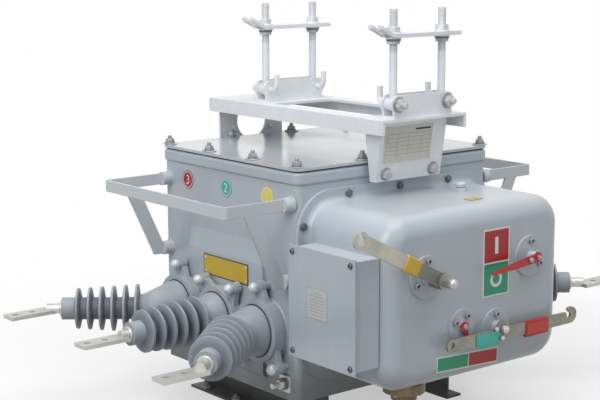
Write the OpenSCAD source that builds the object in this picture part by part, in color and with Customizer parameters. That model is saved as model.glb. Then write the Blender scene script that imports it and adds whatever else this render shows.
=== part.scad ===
// Pole hung vacuum circuit breaker: a sealed steel tank with three bushings on
// each side, a deep drawn mechanism housing on its front, a hanging frame with
// two pole clamps on its lid, and two support rails under it.
// X runs across the front, Y runs to the back, Z is up, millimetres.
// The origin lies on the floor, in the middle of the whole object.

/* [Tank] */
// Width of the tank across the front
tank_w = 532; // [480:1:600]
// Depth of the tank from front wall to back wall
tank_d = 471; // [460:1:540]
// Radius of the tank's upright edges
tank_edge_r = 14; // [10:1:25]
// How far the lip stands out from the tank wall
lip_out = 4; // [2:0.5:6]
// Height of the lip
lip_h = 26; // [22:1:34]
// Rounding of the lip's outer edges
lip_round = 6; // [3:0.5:8]
// Thickness of the gasket under the lid
gasket_t = 3; // [2:0.5:5]
// How far the gasket is set back from the lip's edge
gasket_inset = 6; // [3:0.5:10]
// Thickness of the lid
lid_t = 6; // [4:0.5:10]

/* [Pressed side panel] */
// Width of the raised panel on each side wall
panel_w = 264; // [255:1:276]
// How far the panel stands out
panel_out = 9; // [6:0.5:9.5]
// Height of the panel's upper edge above the bushing axes
panel_rise = 174; // [166:1:182]
// Height of the slope
panel_slope_h = 43; // [30:1:50]
// Height of the flat panel under the slope
panel_flat_h = 232; // [226:1:240]

/* [Support rails] */
// Height of a support rail
rail_h = 85; // [60:1:110]
// Distance of each rail's web from the middle
rail_x = 172; // [150:1:190]
// Thickness of the rail sheet
rail_t = 5; // [4:0.5:8]
// Width of the flange on the floor
rail_foot_w = 43; // [30:1:60]
// Width of the flange under the tank
rail_top_w = 40; // [30:1:60]
// How far the rail's ends are set back from the tank walls
rail_inset = 15; // [5:1:40]

/* [Bushings] */
// Distance between neighbouring bushing seats
bushing_pitch = 141.5; // [138:0.5:146]
// Angle by which the outer bushings are bent away from the middle one
fan_angle = 38.3; // [34:0.1:40]
// Drop from the lip to the bushing axes
bushing_drop = 306; // [298:1:330]
// Height of the bushing axes above the tank's floor
bushing_rise = 139; // [136:1:160]
// Stand-off of the seats from the tank wall
seat_out = 12; // [10.5:0.5:16]
// Radius of the turrets that carry the bushings
turret_r = 62; // [60:0.5:64]
// Distance from a seat to the bend of its bushing
bend_out = 75.5; // [72:0.5:80]
// Radius of the ball in the bend
bend_r = 41; // [39:0.5:43]
// How far the tapers run into the ball
bend_lap = 12; // [10:0.5:14]
// Length of an outer bushing from its bend to the end of its core
outer_len = 205.5; // [195:0.5:215]
// Length of the middle bushing from the place of the bend to the end of its core
mid_len = 161.5; // [155:0.5:170]
// Radius of the barrel at the seat
barrel_r = 53; // [48:0.5:54]
// Length of the straight barrel
barrel_len = 30; // [27:1:34]
// Radius at the thin end of an outer bushing's taper
outer_neck_r = 27; // [25:0.5:30]
// Radius at the thin end of the middle bushing's taper
mid_neck_r = 36; // [30:0.5:40]
// Radius of the core
core_r = 24; // [20:0.5:28]
// Number of sheds
shed_count = 6; // [4:1:7]
// Distance between sheds
shed_pitch = 25.5; // [22:0.5:27]
// Distance of the last shed from the end of the core
shed_end = 35; // [28:1:45]
// Radius of the outermost shed
shed_r_end = 44; // [38:0.5:48]
// Radius of the shed next to the tank
shed_r_root = 52; // [46:0.5:56]
// Thickness of a shed at its root
shed_root_t = 14; // [8:0.5:16]
// Thickness of a shed at its rim
shed_rim_t = 4.5; // [2:0.5:6]

/* [Terminals] */
// Radius of the stud between bushing and terminal bar
stud_r = 11; // [8:0.5:14]
// Length of the stud of an outer terminal, up to its bend
stud_len = 33.3; // [26:0.1:40]
// Length of the stud of a middle terminal
mid_stud_len = 20; // [14:1:26]
// How far the bar lies below the stud's axis
bar_low = 5; // [0:0.5:6]
// Length of the terminal bar
bar_len = 104; // [90:1:120]
// Width of the terminal bar
bar_w = 40; // [32:1:46]
// Thickness of the terminal bar
bar_t = 8; // [6:0.5:12]
// Distance between the two bolt holes
bar_hole_pitch = 40; // [35:1:45]
// Radius of the bolt holes
bar_hole_r = 6.5; // [5:0.25:7]
// Distance from the tip to the first hole
bar_hole_end = 18; // [15:1:24]

/* [Bushing clamps] */
// Outer radius of the clamp ring
clamp_r = 66; // [64:0.5:68]
// Thickness of the clamp ring
clamp_t = 24; // [20:0.5:26]
// Gap between barrel and ring
clamp_gap = 0.05; // [0.02:0.01:0.1]
// Radius on which the lugs sit
lug_circle_r = 90; // [86:0.5:94]
// Radius of a lug
lug_r = 13; // [11:0.5:15]
// Thickness of a lug
lug_t = 14; // [11:0.5:18]
// Distance from the seat to the back of a lug
lug_low = 3; // [2:0.5:6]
// Step between ring, web and lug
lug_step = 1; // [0.5:0.25:1.5]
// Radius of a stand-off post
post_r = 8; // [6:0.5:9]
// Length of a post from the tank wall
post_len = 38; // [36:0.5:44]
// Radius of the round cap on a post
post_cap_r = 11; // [10:0.5:13]

/* [Guard rails] */
// Reach of the guard rail from the tank wall
guard_reach = 166; // [150:1:180]
// Distance between the two arms
guard_span = 432; // [400:1:440]
// Height of the flat bar
guard_bar_h = 24; // [18:1:32]
// Thickness of the flat bar
guard_bar_t = 6; // [4:0.5:8]
// Bend radius of the bar, outside
guard_bend_r = 10; // [8:1:30]
// Drop from the lip to the middle of the bar
guard_drop = 38; // [30:1:44]
// Distance from the tank wall to the outer edge of the brace, at its top
brace_reach = 122; // [100:1:130]
// Distance from the tank wall to the outer edge of the brace, at its foot
brace_foot = 44; // [38:1:50]
// Width of the brace, measured level
brace_w = 33; // [26:1:34]
// Drop from the bar to the lower boss
brace_drop = 156; // [140:1:170]
// Radius of the bosses on the tank wall
guard_boss_r = 15; // [13:0.5:18]
// Length of the bosses
guard_boss_len = 22; // [16:1:30]

/* [Mechanism housing] */
// Width of the housing
housing_w = 490; // [460:1:500]
// Height of the housing
housing_h = 343; // [330:1:350]
// Depth from the tank wall to the front face
housing_depth = 242; // [232:1:260]
// Drop from the lip to the top of the housing
housing_drop = 38; // [36:0.5:42]
// Radius of the housing's corners, seen from the front
housing_corner_r = 60; // [52:1:75]
// Rounding between front face and walls
housing_front_r = 40; // [30:1:48]
// Width of the flange around the housing
flange_w = 25; // [20:1:27]
// Thickness of the flange
flange_t = 8; // [6:0.5:12]
// Radius between flange and wall
draw_r = 12; // [8:0.5:16]

/* [Terminal box] */
// Depth of the box from the housing wall
box_depth = 62; // [50:1:75]
// Length of the box cover, front to back
cover_l = 198; // [180:1:204]
// Height of the box cover
cover_h = 224; // [200:1:230]
// Thickness of the box cover
cover_t = 3; // [2:0.5:5]
// How far the cover stands over the box on each side
cover_over = 6; // [4:0.5:9]
// Distance from the tank wall to the cover's back edge
box_gap = 27; // [24:1:34]
// Drop from the lip to the middle of the box
box_drop = 216; // [212:1:220]

/* [Shaft plates] */
// Thickness of the round plates on the front face
plate_t = 5; // [4:0.5:8]
// Running gap between shafts and their bosses
shaft_gap = 0.05; // [0.02:0.01:0.1]
// Wall of bosses and hubs around a shaft
boss_wall = 6; // [5:0.5:8]
// Depth of the shaft seats in the bosses
shaft_seat = 12; // [10:0.5:14]
// Gap between a boss and the hub that turns on it
hub_gap = 0.4; // [0.3:0.05:0.6]
// Direction of the open slot in the ring and in the hook of the two levers
hook_angle = 125; // [80:1:140]

/* [Charging handle] */
// Place of the charging shaft across the front
charge_x = -147; // [-152:1:-140]
// Height of the charging shaft above the housing's middle
charge_z = 53; // [46:1:60]
// Radius of the charging shaft's plate
charge_plate_r = 42; // [38:1:46]
// Radius of the charging shaft
charge_shaft_r = 10; // [8:0.5:12]
// Height of the boss above the plate
charge_boss_h = 17; // [15:1:22]
// Length of the handle's hub
charge_hub_l = 32; // [28:1:36]
// Length of the shaft end in front of the handle
charge_tip_l = 22; // [16:1:26]
// Length of the handle from the shaft to the middle of its ring
handle_len = 233; // [210:1:250]
// Angle of the handle above level
handle_angle = 27; // [22:1:32]
// Width of the handle
handle_w = 27; // [22:1:30]
// Thickness of the handle
handle_t = 6; // [5:0.5:8]
// Outer radius of the ring at the handle's end
handle_ring_r = 17; // [15:0.5:20]
// Radius of the hole in that ring
handle_hole_r = 10; // [8:0.5:11]

/* [Open and close lever] */
// Place of the lever shaft across the front
lever_x = 46; // [42:1:50]
// Drop of the lever shaft under the housing's middle
lever_drop = 77; // [72:1:82]
// Radius of the lever's plate
lever_plate_r = 38; // [34:1:40]
// Radius of the lever shaft
lever_shaft_r = 9; // [7:0.5:11]
// Height of the boss above the plate
lever_boss_h = 14; // [13:1:17]
// Length of the left arm to the middle of its ring
lever_left = 143; // [130:1:150]
// Length of the right arm to its hook
lever_right = 203; // [190:1:210]
// Width of the lever
lever_w = 25; // [20:1:28]
// Thickness of the lever
lever_t = 6; // [5:0.5:8]
// Radius of the ring at the left end
lever_ring_r = 13; // [11:0.5:15]
// Radius of the hole in the ring
lever_hole_r = 6.5; // [5:0.5:8]
// Drop of the arms under the shaft
lever_arm_drop = 10; // [6:1:14]
// Radius of the hook at the right end
lever_hook_r = 17; // [15:0.5:19]

/* [Pointers] */
// Place of the position shaft across the front
position_x = 142; // [136:1:150]
// Height of the position shaft above the housing's middle
position_z = 55; // [48:1:60]
// Radius of the position shaft's plate
position_plate_r = 42; // [36:1:46]
// Height of the boss above the plate
position_boss_h = 18; // [15:1:20]
// Length of the position pointer
position_len = 132; // [115:1:140]
// Angle of the position pointer under level
position_angle = 7; // [3:1:12]
// Place of the spring pointer's shaft across the front
spring_x = -50; // [-56:1:-44]
// Drop of the spring pointer's shaft under the housing's middle
spring_drop = 59; // [52:1:64]
// Radius of the spring pointer's plate
spring_plate_r = 34; // [30:1:38]
// Height of the boss above the plate
spring_boss_h = 4; // [3.5:0.5:5]
// Length of the spring pointer
spring_len = 36; // [28:1:40]
// Angle of the spring pointer beside straight down
spring_angle = 16; // [10:1:22]
// Radius of both pointer shafts
pointer_shaft_r = 5; // [4:0.5:6]
// Thickness of the pointers
pointer_t = 3; // [2:0.5:4]
// Radius of the pointer hubs
pointer_hub_r = 11; // [9:0.5:13]

/* [Cable connector] */
// Place of the connector across the front
gland_x = -135; // [-150:1:-120]
// Distance of the connector from the tank wall
gland_y = 172; // [120:1:180]
// Radius of its collar
gland_collar_r = 42; // [36:1:46]
// Height of its collar
gland_collar_h = 20; // [14:1:24]
// Radius of its body
gland_r = 26; // [20:1:30]
// Length of its body
gland_len = 46; // [36:1:60]
// Step from its nut to its plain end
gland_step = 4; // [2:0.5:6]

/* [Earth stud] */
// Radius of the earth stud
earth_r = 6; // [5:0.5:8]
// Length of the earth stud
earth_len = 38; // [30:1:46]
// Distance of the stud from the tank's front wall
earth_y = 36; // [30:1:50]
// Drop from the bushing axes to the stud
earth_drop = 104; // [102:1:110]
// Size of its square pad
earth_pad = 34; // [28:1:40]
// Thickness of its pad
earth_pad_t = 6; // [4:0.5:8]

/* [Hanging frame] */
// Width of the frame
frame_w = 232; // [216:1:250]
// How far the frame reaches in front of the tank's middle
frame_front = 320; // [310:1:335]
// How far the frame reaches behind the tank's middle
frame_back = 272; // [268:1:285]
// Height of the frame's top above the lip's lower edge
frame_rise = 125; // [115:1:140]
// Height of the side flanges
frame_flange_h = 30; // [24:1:40]
// Thickness of the frame sheet
frame_t = 6; // [5:0.5:8]
// Width of the side strips beside the opening
frame_strip_w = 36; // [28:1:44]
// Length of the closed front end
frame_front_l = 82; // [72:1:95]
// Length of the closed back end
frame_back_l = 197; // [180:1:215]
// Width of the brackets under the frame
bracket_w = 180; // [170:1:190]
// Thickness of the bracket sheet
bracket_t = 5; // [4:0.5:8]
// Gap between the lip and the brackets' lower ends
bracket_gap = 26; // [22:1:30]
// How far the front bracket leans forward
bracket_lean = 20; // [12:1:26]
// How far the brackets reach below the lip
bracket_below = 7; // [4:1:10]
// Depth of the bracket's side wings at the top
wing_top = 56; // [44:1:60]
// Depth of the bracket's side wings at the bottom
wing_bottom = 18; // [14:1:20]
// Radius of the round hole in the rear bracket
bracket_hole_r = 42; // [34:1:46]
// Distance between the bracket's two bolts
bracket_bolt_pitch = 132; // [120:1:144]
// Radius of the bracket's spacers
spacer_r = 11; // [9:0.5:12]

/* [Pole clamps] */
// Distance of the front clamp from the tank's middle
clamp_front = 295; // [288:1:300]
// Distance of the rear clamp from the tank's middle
clamp_back = 122; // [112:1:132]
// Radius of the cheek plates' lobes around the hook pins
lobe_r = 19; // [17:0.5:21]
// How far the cheek's foot is set in under each lobe
lobe_over = 6; // [3:0.5:8]
// Thickness of the cheek plates
cheek_t = 5; // [4:0.5:7]
// Clear distance between the cheek plates
cheek_gap = 26; // [24:1:30]
// Distance between the two threaded rods
rod_pitch = 134; // [128:1:140]
// Radius of the threaded rods
rod_r = 8; // [6:0.5:9]
// Height of the rods above the frame
rod_top = 217; // [200:1:240]
// Radius of the eye at the rod's lower end
eye_r = 13; // [11:0.5:14]
// Radius of the hook pins
pin_r = 6; // [5:0.5:7]
// Height of the hook pins above the frame
pin_z = 28; // [25:1:32]
// Running gap around pins and rods
rod_gap = 0.3; // [0.2:0.05:0.5]
// Bend radius of the hooks
hook_r = 14; // [12:1:18]
// Height of the hook's upright end
hook_up = 20; // [14:1:26]
// Height of the clamp bar above the frame
bar_rise = 161; // [140:1:175]
// Thickness of the clamp bar
top_bar_t = 8; // [6:0.5:10]
// Width of the clamp bar
top_bar_w = 40; // [34:1:46]
// Reach of the clamp bar's plain end from the middle
top_bar_plain = 104; // [100:1:116]
// Reach of the clamp bar's forked end from the middle
top_bar_fork = 116; // [112:1:128]
// Rise of the forked end
fork_rise = 18; // [10:1:24]
// Height of a nut
nut_h = 13; // [10:0.5:15]
// Radius of a nut over its corners
nut_r = 14; // [12.5:0.5:16]

/* [Hidden] */

$fn = 64;
steel_grey = [0.67, 0.70, 0.74];
silicone_grey = [0.46, 0.48, 0.52];
galvanized = [0.78, 0.79, 0.80];
tin = [0.83, 0.83, 0.80];
black_paint = [0.13, 0.14, 0.14];
bare_bar = [0.55, 0.54, 0.48];
signal_red = [0.75, 0.12, 0.14];
bronze = [0.42, 0.38, 0.30];
rubber_black = [0.12, 0.12, 0.12];

// Length of a bushing beyond the place of its bend
function core_len(row) = row == 0 ? mid_len : outer_len;

// Reach of the whole object in front of and behind the tank's middle
lip_w = tank_w + 2 * lip_out;
lip_d = tank_d + 2 * lip_out;
lip_r = tank_edge_r + lip_out;
panel_half = panel_w / 2;
outer_axis_l = outer_len + stud_len;
front_reach = tank_d / 2 + housing_depth + plate_t + charge_boss_h + hub_gap + charge_hub_l + charge_tip_l;
back_reach = bushing_pitch + outer_axis_l * sin(fan_angle) + bar_w / 2;
tank_y = (front_reach - back_reach) / 2;
front_y = tank_y - tank_d / 2;
tank_h = bushing_rise + bushing_drop;
lip_z = rail_h + tank_h;
lid_z = lip_z + lip_h + gasket_t;
bushing_z = lip_z - bushing_drop;
housing_z = lip_z - housing_drop - housing_h / 2;
face_y = front_y - housing_depth;
frame_z = lip_z + frame_rise;
cover_x = -housing_w / 2 - box_depth;
box_z = lip_z - box_drop;

// Angles of the lugs around each clamp ring, seen along the bushing from its end
mid_lugs = [52, 128, 270];
outer_lugs = [90, 230, 310];
function lugs(row) = row == 0 ? mid_lugs : outer_lugs;

// A flat slab with round upright edges
module slab(w, d, h, r) {
    linear_extrude(h)
        union() {
            square([w - 2 * r, d], center = true);
            square([w, d - 2 * r], center = true);
            for (x = [-1, 1])
                for (y = [-1, 1])
                    translate([x * (w / 2 - r), y * (d / 2 - r)])
                        circle(r);
        }
}

// A profile carried round a rectangle with round corners, filled to height h
module carried_round(w, d, r, h) {
    linear_extrude(h)
        square([w - 2 * r, d - 2 * r], center = true);
    for (turn = [0 : 3]) {
        x = turn == 0 || turn == 3 ? 1 : -1;
        y = turn < 2 ? 1 : -1;
        translate([x * (w / 2 - r), y * (d / 2 - r), 0])
            rotate(90 * turn)
                rotate_extrude(angle = 90)
                    children();
    }
    for (turn = [0, 180])
        rotate(turn)
            translate([w / 2 - r, 0, 0])
                rotate([90, 0, 0])
                    linear_extrude(d - 2 * r, center = true)
                        children();
    for (turn = [90, 270])
        rotate(turn)
            translate([d / 2 - r, 0, 0])
                rotate([90, 0, 0])
                    linear_extrude(w - 2 * r, center = true)
                        children();
}

// A quarter of a disc whose arc bulges up and to the right
module quarter_disc(r) {
    intersection() {
        circle(r);
        square(r);
    }
}

// A rod along Y, from y0 towards the front
module front_rod(x, z, y0, r, l) {
    translate([x, y0, z])
        rotate([90, 0, 0])
            cylinder(r = r, h = l);
}

// Puts children at a bushing seat of the left side, with their Z straight out from the wall
module at_seat(row) {
    translate([-tank_w / 2 - seat_out, tank_y + row * bushing_pitch, bushing_z])
        rotate([0, -90, 0])
            children();
}

// Puts children at the bend of a bushing, with their Z along its ribbed end
module at_bend(row) {
    at_seat(row)
        translate([0, 0, bend_out])
            rotate([-row * fan_angle, 0, 0])
                children();
}

// Draws children on the left for side -1 and mirrored on the right for side 1
module on_side(side) {
    if (side < 0)
        children();
    else
        mirror([1, 0, 0])
            children();
}

module lip_profile() {
    square([lip_r - lip_round, lip_h]);
    translate([0, lip_round])
        square([lip_r, lip_h - 2 * lip_round]);
    translate([lip_r - lip_round, lip_h - lip_round])
        quarter_disc(lip_round);
    translate([lip_r - lip_round, lip_round])
        mirror([0, 1])
            quarter_disc(lip_round);
}

// The raised panel of the left wall, its outline drawn along Y
module side_panel() {
    outline = [[0, 0], [-panel_out, -panel_slope_h], [-panel_out, -panel_slope_h - panel_flat_h],
        [0, -panel_slope_h - panel_flat_h - panel_out], [tank_edge_r, -panel_slope_h], [tank_edge_r, 0]];
    translate([-tank_w / 2, tank_y + panel_half, bushing_z + panel_rise])
        rotate([90, 0, 0])
            linear_extrude(panel_w)
                polygon(outline);
}

// A turret of the left wall, let into the wall behind it
module turret(row) {
    at_seat(row)
        translate([0, 0, -seat_out - tank_edge_r])
            cylinder(r = turret_r, h = seat_out + tank_edge_r);
}

module tank_body() {
    color(steel_grey)
        union() {
            translate([0, tank_y, rail_h])
                slab(tank_w, tank_d, tank_h, tank_edge_r);
            translate([0, tank_y, lip_z])
                carried_round(lip_w, lip_d, lip_r, lip_h)
                    lip_profile();
            for (side = [-1, 1])
                on_side(side) {
                    side_panel();
                    for (row = [-1 : 1])
                        turret(row);
                }
        }
}

module lid_gasket() {
    color(rubber_black)
        translate([0, tank_y, lip_z + lip_h])
            slab(lip_w - 2 * gasket_inset, lip_d - 2 * gasket_inset, gasket_t, lip_r - gasket_inset);
}

module tank_lid() {
    color(steel_grey)
        translate([0, tank_y, lid_z])
            slab(lip_w, lip_d, lid_t, lip_r);
}

// A folded rail: flange under the tank towards the middle, foot on the floor outwards
module support_rail(side) {
    outline = [[0, 0], [rail_foot_w, 0], [rail_foot_w, rail_t], [rail_t, rail_t], [rail_t, rail_h],
        [rail_t - rail_top_w, rail_h], [rail_t - rail_top_w, rail_h - rail_t], [0, rail_h - rail_t]];
    color(black_paint)
        mirror([side < 0 ? 1 : 0, 0, 0])
            translate([rail_x, tank_y + tank_d / 2 - rail_inset, 0])
                rotate([90, 0, 0])
                    linear_extrude(tank_d - 2 * rail_inset)
                        polygon(outline);
}

// Radius of shed i, counted from the tank
function shed_r(i) = shed_r_root + (shed_r_end - shed_r_root) * i / (shed_count - 1);

// Half outline of a ribbed end: the points of its root, a taper to the neck, core and sheds
module ribbed_profile(root, neck_r, l) {
    first = l - shed_end - (shed_count - 1) * shed_pitch;
    polygon(concat([[0, root[0][1]]], root, [[neck_r, first], [core_r, first], [core_r, l], [0, l]]));
    for (i = [0 : shed_count - 1]) {
        mid = first + i * shed_pitch;
        polygon([[0, mid - shed_root_t / 2], [core_r, mid - shed_root_t / 2], [shed_r(i), mid - shed_rim_t / 2],
            [shed_r(i), mid + shed_rim_t / 2], [core_r, mid + shed_root_t / 2], [0, mid + shed_root_t / 2]]);
    }
}

// An outer bushing: straight barrel and taper, a ball in the bend, then the ribbed end
module bent_bushing(row) {
    taper_r = bend_r * 1.02;
    slope = (barrel_r - taper_r) / (bend_out - barrel_len);
    lap_z = bend_out + bend_lap;
    at_seat(row)
        rotate_extrude()
            polygon([[0, 0], [barrel_r, 0], [barrel_r, barrel_len], [taper_r - slope * bend_lap, lap_z], [0, lap_z]]);
    at_bend(row) {
        sphere(bend_r);
        rotate_extrude()
            ribbed_profile([[bend_r - bend_lap / 8, bend_lap / 2]], outer_neck_r, outer_len);
    }
}

module bushing(side, row) {
    color(silicone_grey)
        on_side(side)
            if (row == 0)
                at_seat(row)
                    rotate_extrude()
                        ribbed_profile([[barrel_r, 0], [barrel_r, barrel_len]], mid_neck_r, bend_out + mid_len);
            else
                bent_bushing(row);
}

// Stud along the bushing, then a flat bar straight out from the tank
module terminal(side, row) {
    stud_l = row == 0 ? mid_stud_len : stud_len;
    end_l = core_len(row) + stud_l;
    end_x = -tank_w / 2 - seat_out - bend_out - end_l * cos(row * fan_angle);
    end_y = tank_y + row * (bushing_pitch + end_l * sin(fan_angle));
    mid_z = bushing_z - bar_low;
    tip_x = end_x + bar_w / 4 - bar_len;
    color(tin)
        on_side(side)
            difference() {
                union() {
                    at_bend(row)
                        translate([0, 0, core_len(row)])
                            cylinder(r = stud_r, h = stud_l);
                    translate([tip_x, end_y - bar_w / 2, mid_z - bar_t / 2])
                        cube([bar_len, bar_w, bar_t]);
                }
                for (i = [0, 1])
                    translate([tip_x + bar_hole_end + i * bar_hole_pitch, end_y, mid_z - bar_t])
                        cylinder(r = bar_hole_r, h = 2 * bar_t);
            }
}

// Distance from the tank wall to what a post at this place stands on
function post_base(y) = abs(y) < panel_half + post_r ? panel_out : 0;

// A web that narrows from the ring to a lug; its root lies in the ring and its tip in the lug
module lug_web() {
    root = (0.8 * barrel_r + 0.2 * clamp_r) * [cos(37), sin(37)];
    tip_half = lug_r * 0.77;
    polygon([root, [lug_circle_r, tip_half], [lug_circle_r, -tip_half], [root[0], -root[1]]]);
}

// Ring on the seat, three lugs, and a capped post through each lug to the tank wall
module bushing_clamp(side, row) {
    color(galvanized)
        on_side(side) {
            at_seat(row)
                difference() {
                    union() {
                        cylinder(r = clamp_r, h = clamp_t);
                        for (a = lugs(row))
                            rotate(90 - a) {
                                translate([lug_circle_r, 0, lug_low])
                                    cylinder(r = lug_r, h = lug_t);
                                translate([0, 0, lug_low + lug_step])
                                    linear_extrude(lug_t - lug_step * 2)
                                        lug_web();
                            }
                    }
                    translate([0, 0, -clamp_t])
                        cylinder(r = barrel_r + clamp_gap, h = 3 * clamp_t);
                }
            for (a = lugs(row)) {
                y = row * bushing_pitch + lug_circle_r * cos(a);
                base = post_base(y);
                translate([-tank_w / 2 - base, tank_y + y, bushing_z + lug_circle_r * sin(a)])
                    rotate([0, -90, 0]) {
                        cylinder(r = post_r, h = post_len - base);
                        translate([0, 0, post_len - base])
                            sphere(post_cap_r);
                    }
            }
        }
}

// Outline of the guard rail seen from above: a flat bar bent to a U
module guard_outline(out) {
    r = guard_bend_r - out;
    l = guard_reach - out;
    w = guard_span + guard_bar_t - 2 * out;
    translate([-l, -w / 2 + r])
        square([l, w - 2 * r]);
    translate([-l + r, -w / 2])
        square([l - r, w]);
    for (y = [-1, 1])
        translate([-l + r, y * (w / 2 - r)])
            circle(r);
}

// Bent flat bar on four bosses, with a slanted brace under each arm
module guard_rail(side) {
    wall_x = -tank_w / 2;
    bar_z = lip_z - guard_drop;
    low_z = bar_z - brace_drop;
    half = guard_bar_h / 2;
    color(steel_grey)
        on_side(side)
            translate([wall_x, tank_y, 0]) {
                difference() {
                    translate([0, 0, bar_z - half])
                        linear_extrude(guard_bar_h)
                            difference() {
                                guard_outline(0);
                                guard_outline(guard_bar_t);
                            }
                    translate([-1, -guard_span, bar_z - guard_bar_h])
                        cube([2, 2 * guard_span, 2 * guard_bar_h]);
                }
                for (y = [-guard_span / 2, guard_span / 2]) {
                    for (z = [bar_z, low_z])
                        translate([0, y, z])
                            rotate([0, -90, 0])
                                cylinder(r = guard_boss_r, h = guard_boss_len);
                    translate([0, y + guard_bar_t / 2, 0])
                        rotate([90, 0, 0])
                            linear_extrude(guard_bar_t)
                                polygon([[-brace_reach, bar_z], [-brace_reach + brace_w, bar_z],
                                    [-brace_foot + brace_w, low_z - half], [-brace_foot, low_z - half]]);
                }
            }
}

// Wall, rounded front edge, flange and the draw radius between flange and wall
module housing_profile() {
    square([housing_corner_r + flange_w, flange_t]);
    square([housing_corner_r, housing_depth - housing_front_r]);
    square([housing_corner_r - housing_front_r, housing_depth]);
    translate([housing_corner_r - housing_front_r, housing_depth - housing_front_r])
        quarter_disc(housing_front_r);
    translate([housing_corner_r, flange_t])
        difference() {
            square(draw_r);
            translate([draw_r, draw_r])
                circle(draw_r);
        }
}

module mechanism_housing() {
    color(steel_grey)
        translate([0, front_y, housing_z])
            rotate([90, 0, 0])
                carried_round(housing_w, housing_h, housing_corner_r, housing_depth)
                    housing_profile();
}

module terminal_box() {
    color(steel_grey)
        translate([cover_x, front_y - box_gap - cover_l + cover_over, box_z - cover_h / 2 + cover_over])
            cube([box_depth, cover_l - 2 * cover_over, cover_h - 2 * cover_over]);
}

module terminal_box_cover() {
    color(steel_grey)
        translate([cover_x - cover_t, front_y - box_gap - cover_l, box_z - cover_h / 2])
            cube([cover_t, cover_l, cover_h]);
}

// Round plate on the front face with a boss that a shaft turns in
module shaft_plate(x, z, plate_r, boss_h, shaft_r) {
    boss_r = shaft_r + boss_wall;
    color(steel_grey)
        difference() {
            union() {
                front_rod(x, z, face_y, plate_r, plate_t);
                front_rod(x, z, face_y, boss_r, plate_t + boss_h);
            }
            front_rod(x, z, face_y - plate_t - boss_h + shaft_seat, shaft_r + shaft_gap, shaft_seat + 1);
        }
}

module charging_plate() {
    shaft_plate(charge_x, housing_z + charge_z, charge_plate_r, charge_boss_h, charge_shaft_r);
}

module lever_plate() {
    shaft_plate(lever_x, housing_z - lever_drop, lever_plate_r, lever_boss_h, lever_shaft_r);
}

module position_plate() {
    shaft_plate(position_x, housing_z + position_z, position_plate_r, position_boss_h, pointer_shaft_r);
}

module spring_plate() {
    seat = spring_boss_h + plate_t;
    z = housing_z - spring_drop;
    color(steel_grey)
        difference() {
            union() {
                front_rod(spring_x, z, face_y, spring_plate_r, plate_t);
                front_rod(spring_x, z, face_y, pointer_hub_r, seat);
            }
            front_rod(spring_x, z, face_y - plate_t / 2, pointer_shaft_r + shaft_gap, seat);
        }
}

// A flat outline in the front plane, turned about its shaft, from y0 towards the front
module front_outline(x, z, angle, y0, t) {
    translate([x, y0, z])
        rotate([0, -angle, 0])
            rotate([90, 0, 0])
                linear_extrude(t)
                    children();
}

// Crank for charging the spring: hub on the shaft, flat bar, ring with an open hook
module charging_handle() {
    z = housing_z + charge_z;
    boss_y = face_y - plate_t - charge_boss_h;
    hub_y = boss_y - hub_gap;
    bar_y = hub_y - charge_hub_l + handle_t * 1.5;
    color(bare_bar) {
        front_rod(charge_x, z, boss_y + shaft_seat - hub_gap, charge_shaft_r, shaft_seat + charge_hub_l);
        front_rod(charge_x, z, hub_y, charge_shaft_r + boss_wall, charge_hub_l);
        front_rod(charge_x, z, hub_y - charge_hub_l, charge_shaft_r, charge_tip_l);
        front_outline(charge_x, z, -handle_angle, bar_y, handle_t)
            difference() {
                union() {
                    translate([-handle_len, -handle_w / 2])
                        square([handle_len, handle_w]);
                    translate([-handle_len, 0])
                        circle(handle_ring_r);
                }
                translate([-handle_len, 0])
                    circle(handle_hole_r);
                translate([-handle_len, 0])
                    rotate(hook_angle)
                        translate([0, -handle_hole_r * 0.6])
                            square([handle_ring_r * 2, handle_hole_r * 1.2]);
            }
    }
}

// Two armed lever: ring at the opening end, open hook at the closing end
module open_close_lever() {
    z = housing_z - lever_drop;
    boss_y = face_y - plate_t - lever_boss_h;
    hub_y = boss_y - hub_gap;
    hook_z = lever_w / 2 + 1 - lever_arm_drop - lever_hook_r / 2;
    color(bare_bar) {
        front_rod(lever_x, z, boss_y + shaft_seat - hub_gap, lever_shaft_r, shaft_seat + lever_t);
        front_outline(lever_x, z, 0, hub_y, lever_t)
            difference() {
                union() {
                    circle(lever_w / 2 + lever_arm_drop / 2);
                    translate([-lever_left, -lever_arm_drop - lever_w / 2])
                        square([lever_left + lever_right, lever_w]);
                    translate([-lever_left, -lever_arm_drop])
                        circle(lever_ring_r);
                    translate([lever_right, hook_z])
                        circle(lever_hook_r);
                }
                translate([-lever_left, -lever_arm_drop])
                    circle(lever_hole_r);
                translate([lever_right - lever_hole_r, hook_z]) {
                    circle(lever_hole_r);
                    rotate(hook_angle)
                        translate([0, -lever_hole_r * 0.6])
                            square([lever_hook_r * 2, lever_hole_r * 1.2]);
                }
            }
    }
}

// Pointer that shows open or closed, pointing left at rest
module position_pointer() {
    z = housing_z + position_z;
    boss_y = face_y - plate_t - position_boss_h;
    hub_y = boss_y - hub_gap;
    tip_half = 3;
    color(signal_red) {
        front_rod(position_x, z, boss_y + shaft_seat - hub_gap, pointer_shaft_r, shaft_seat + pointer_t);
        front_outline(position_x, z, position_angle, hub_y, pointer_t) {
            circle(pointer_hub_r);
            polygon([[0, pointer_hub_r * 0.8], [-position_len * 0.45, pointer_hub_r * 0.7],
                [-position_len, tip_half], [-position_len, -tip_half],
                [-position_len * 0.45, -pointer_hub_r * 0.7], [0, -pointer_hub_r * 0.8]]);
        }
    }
}

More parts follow.
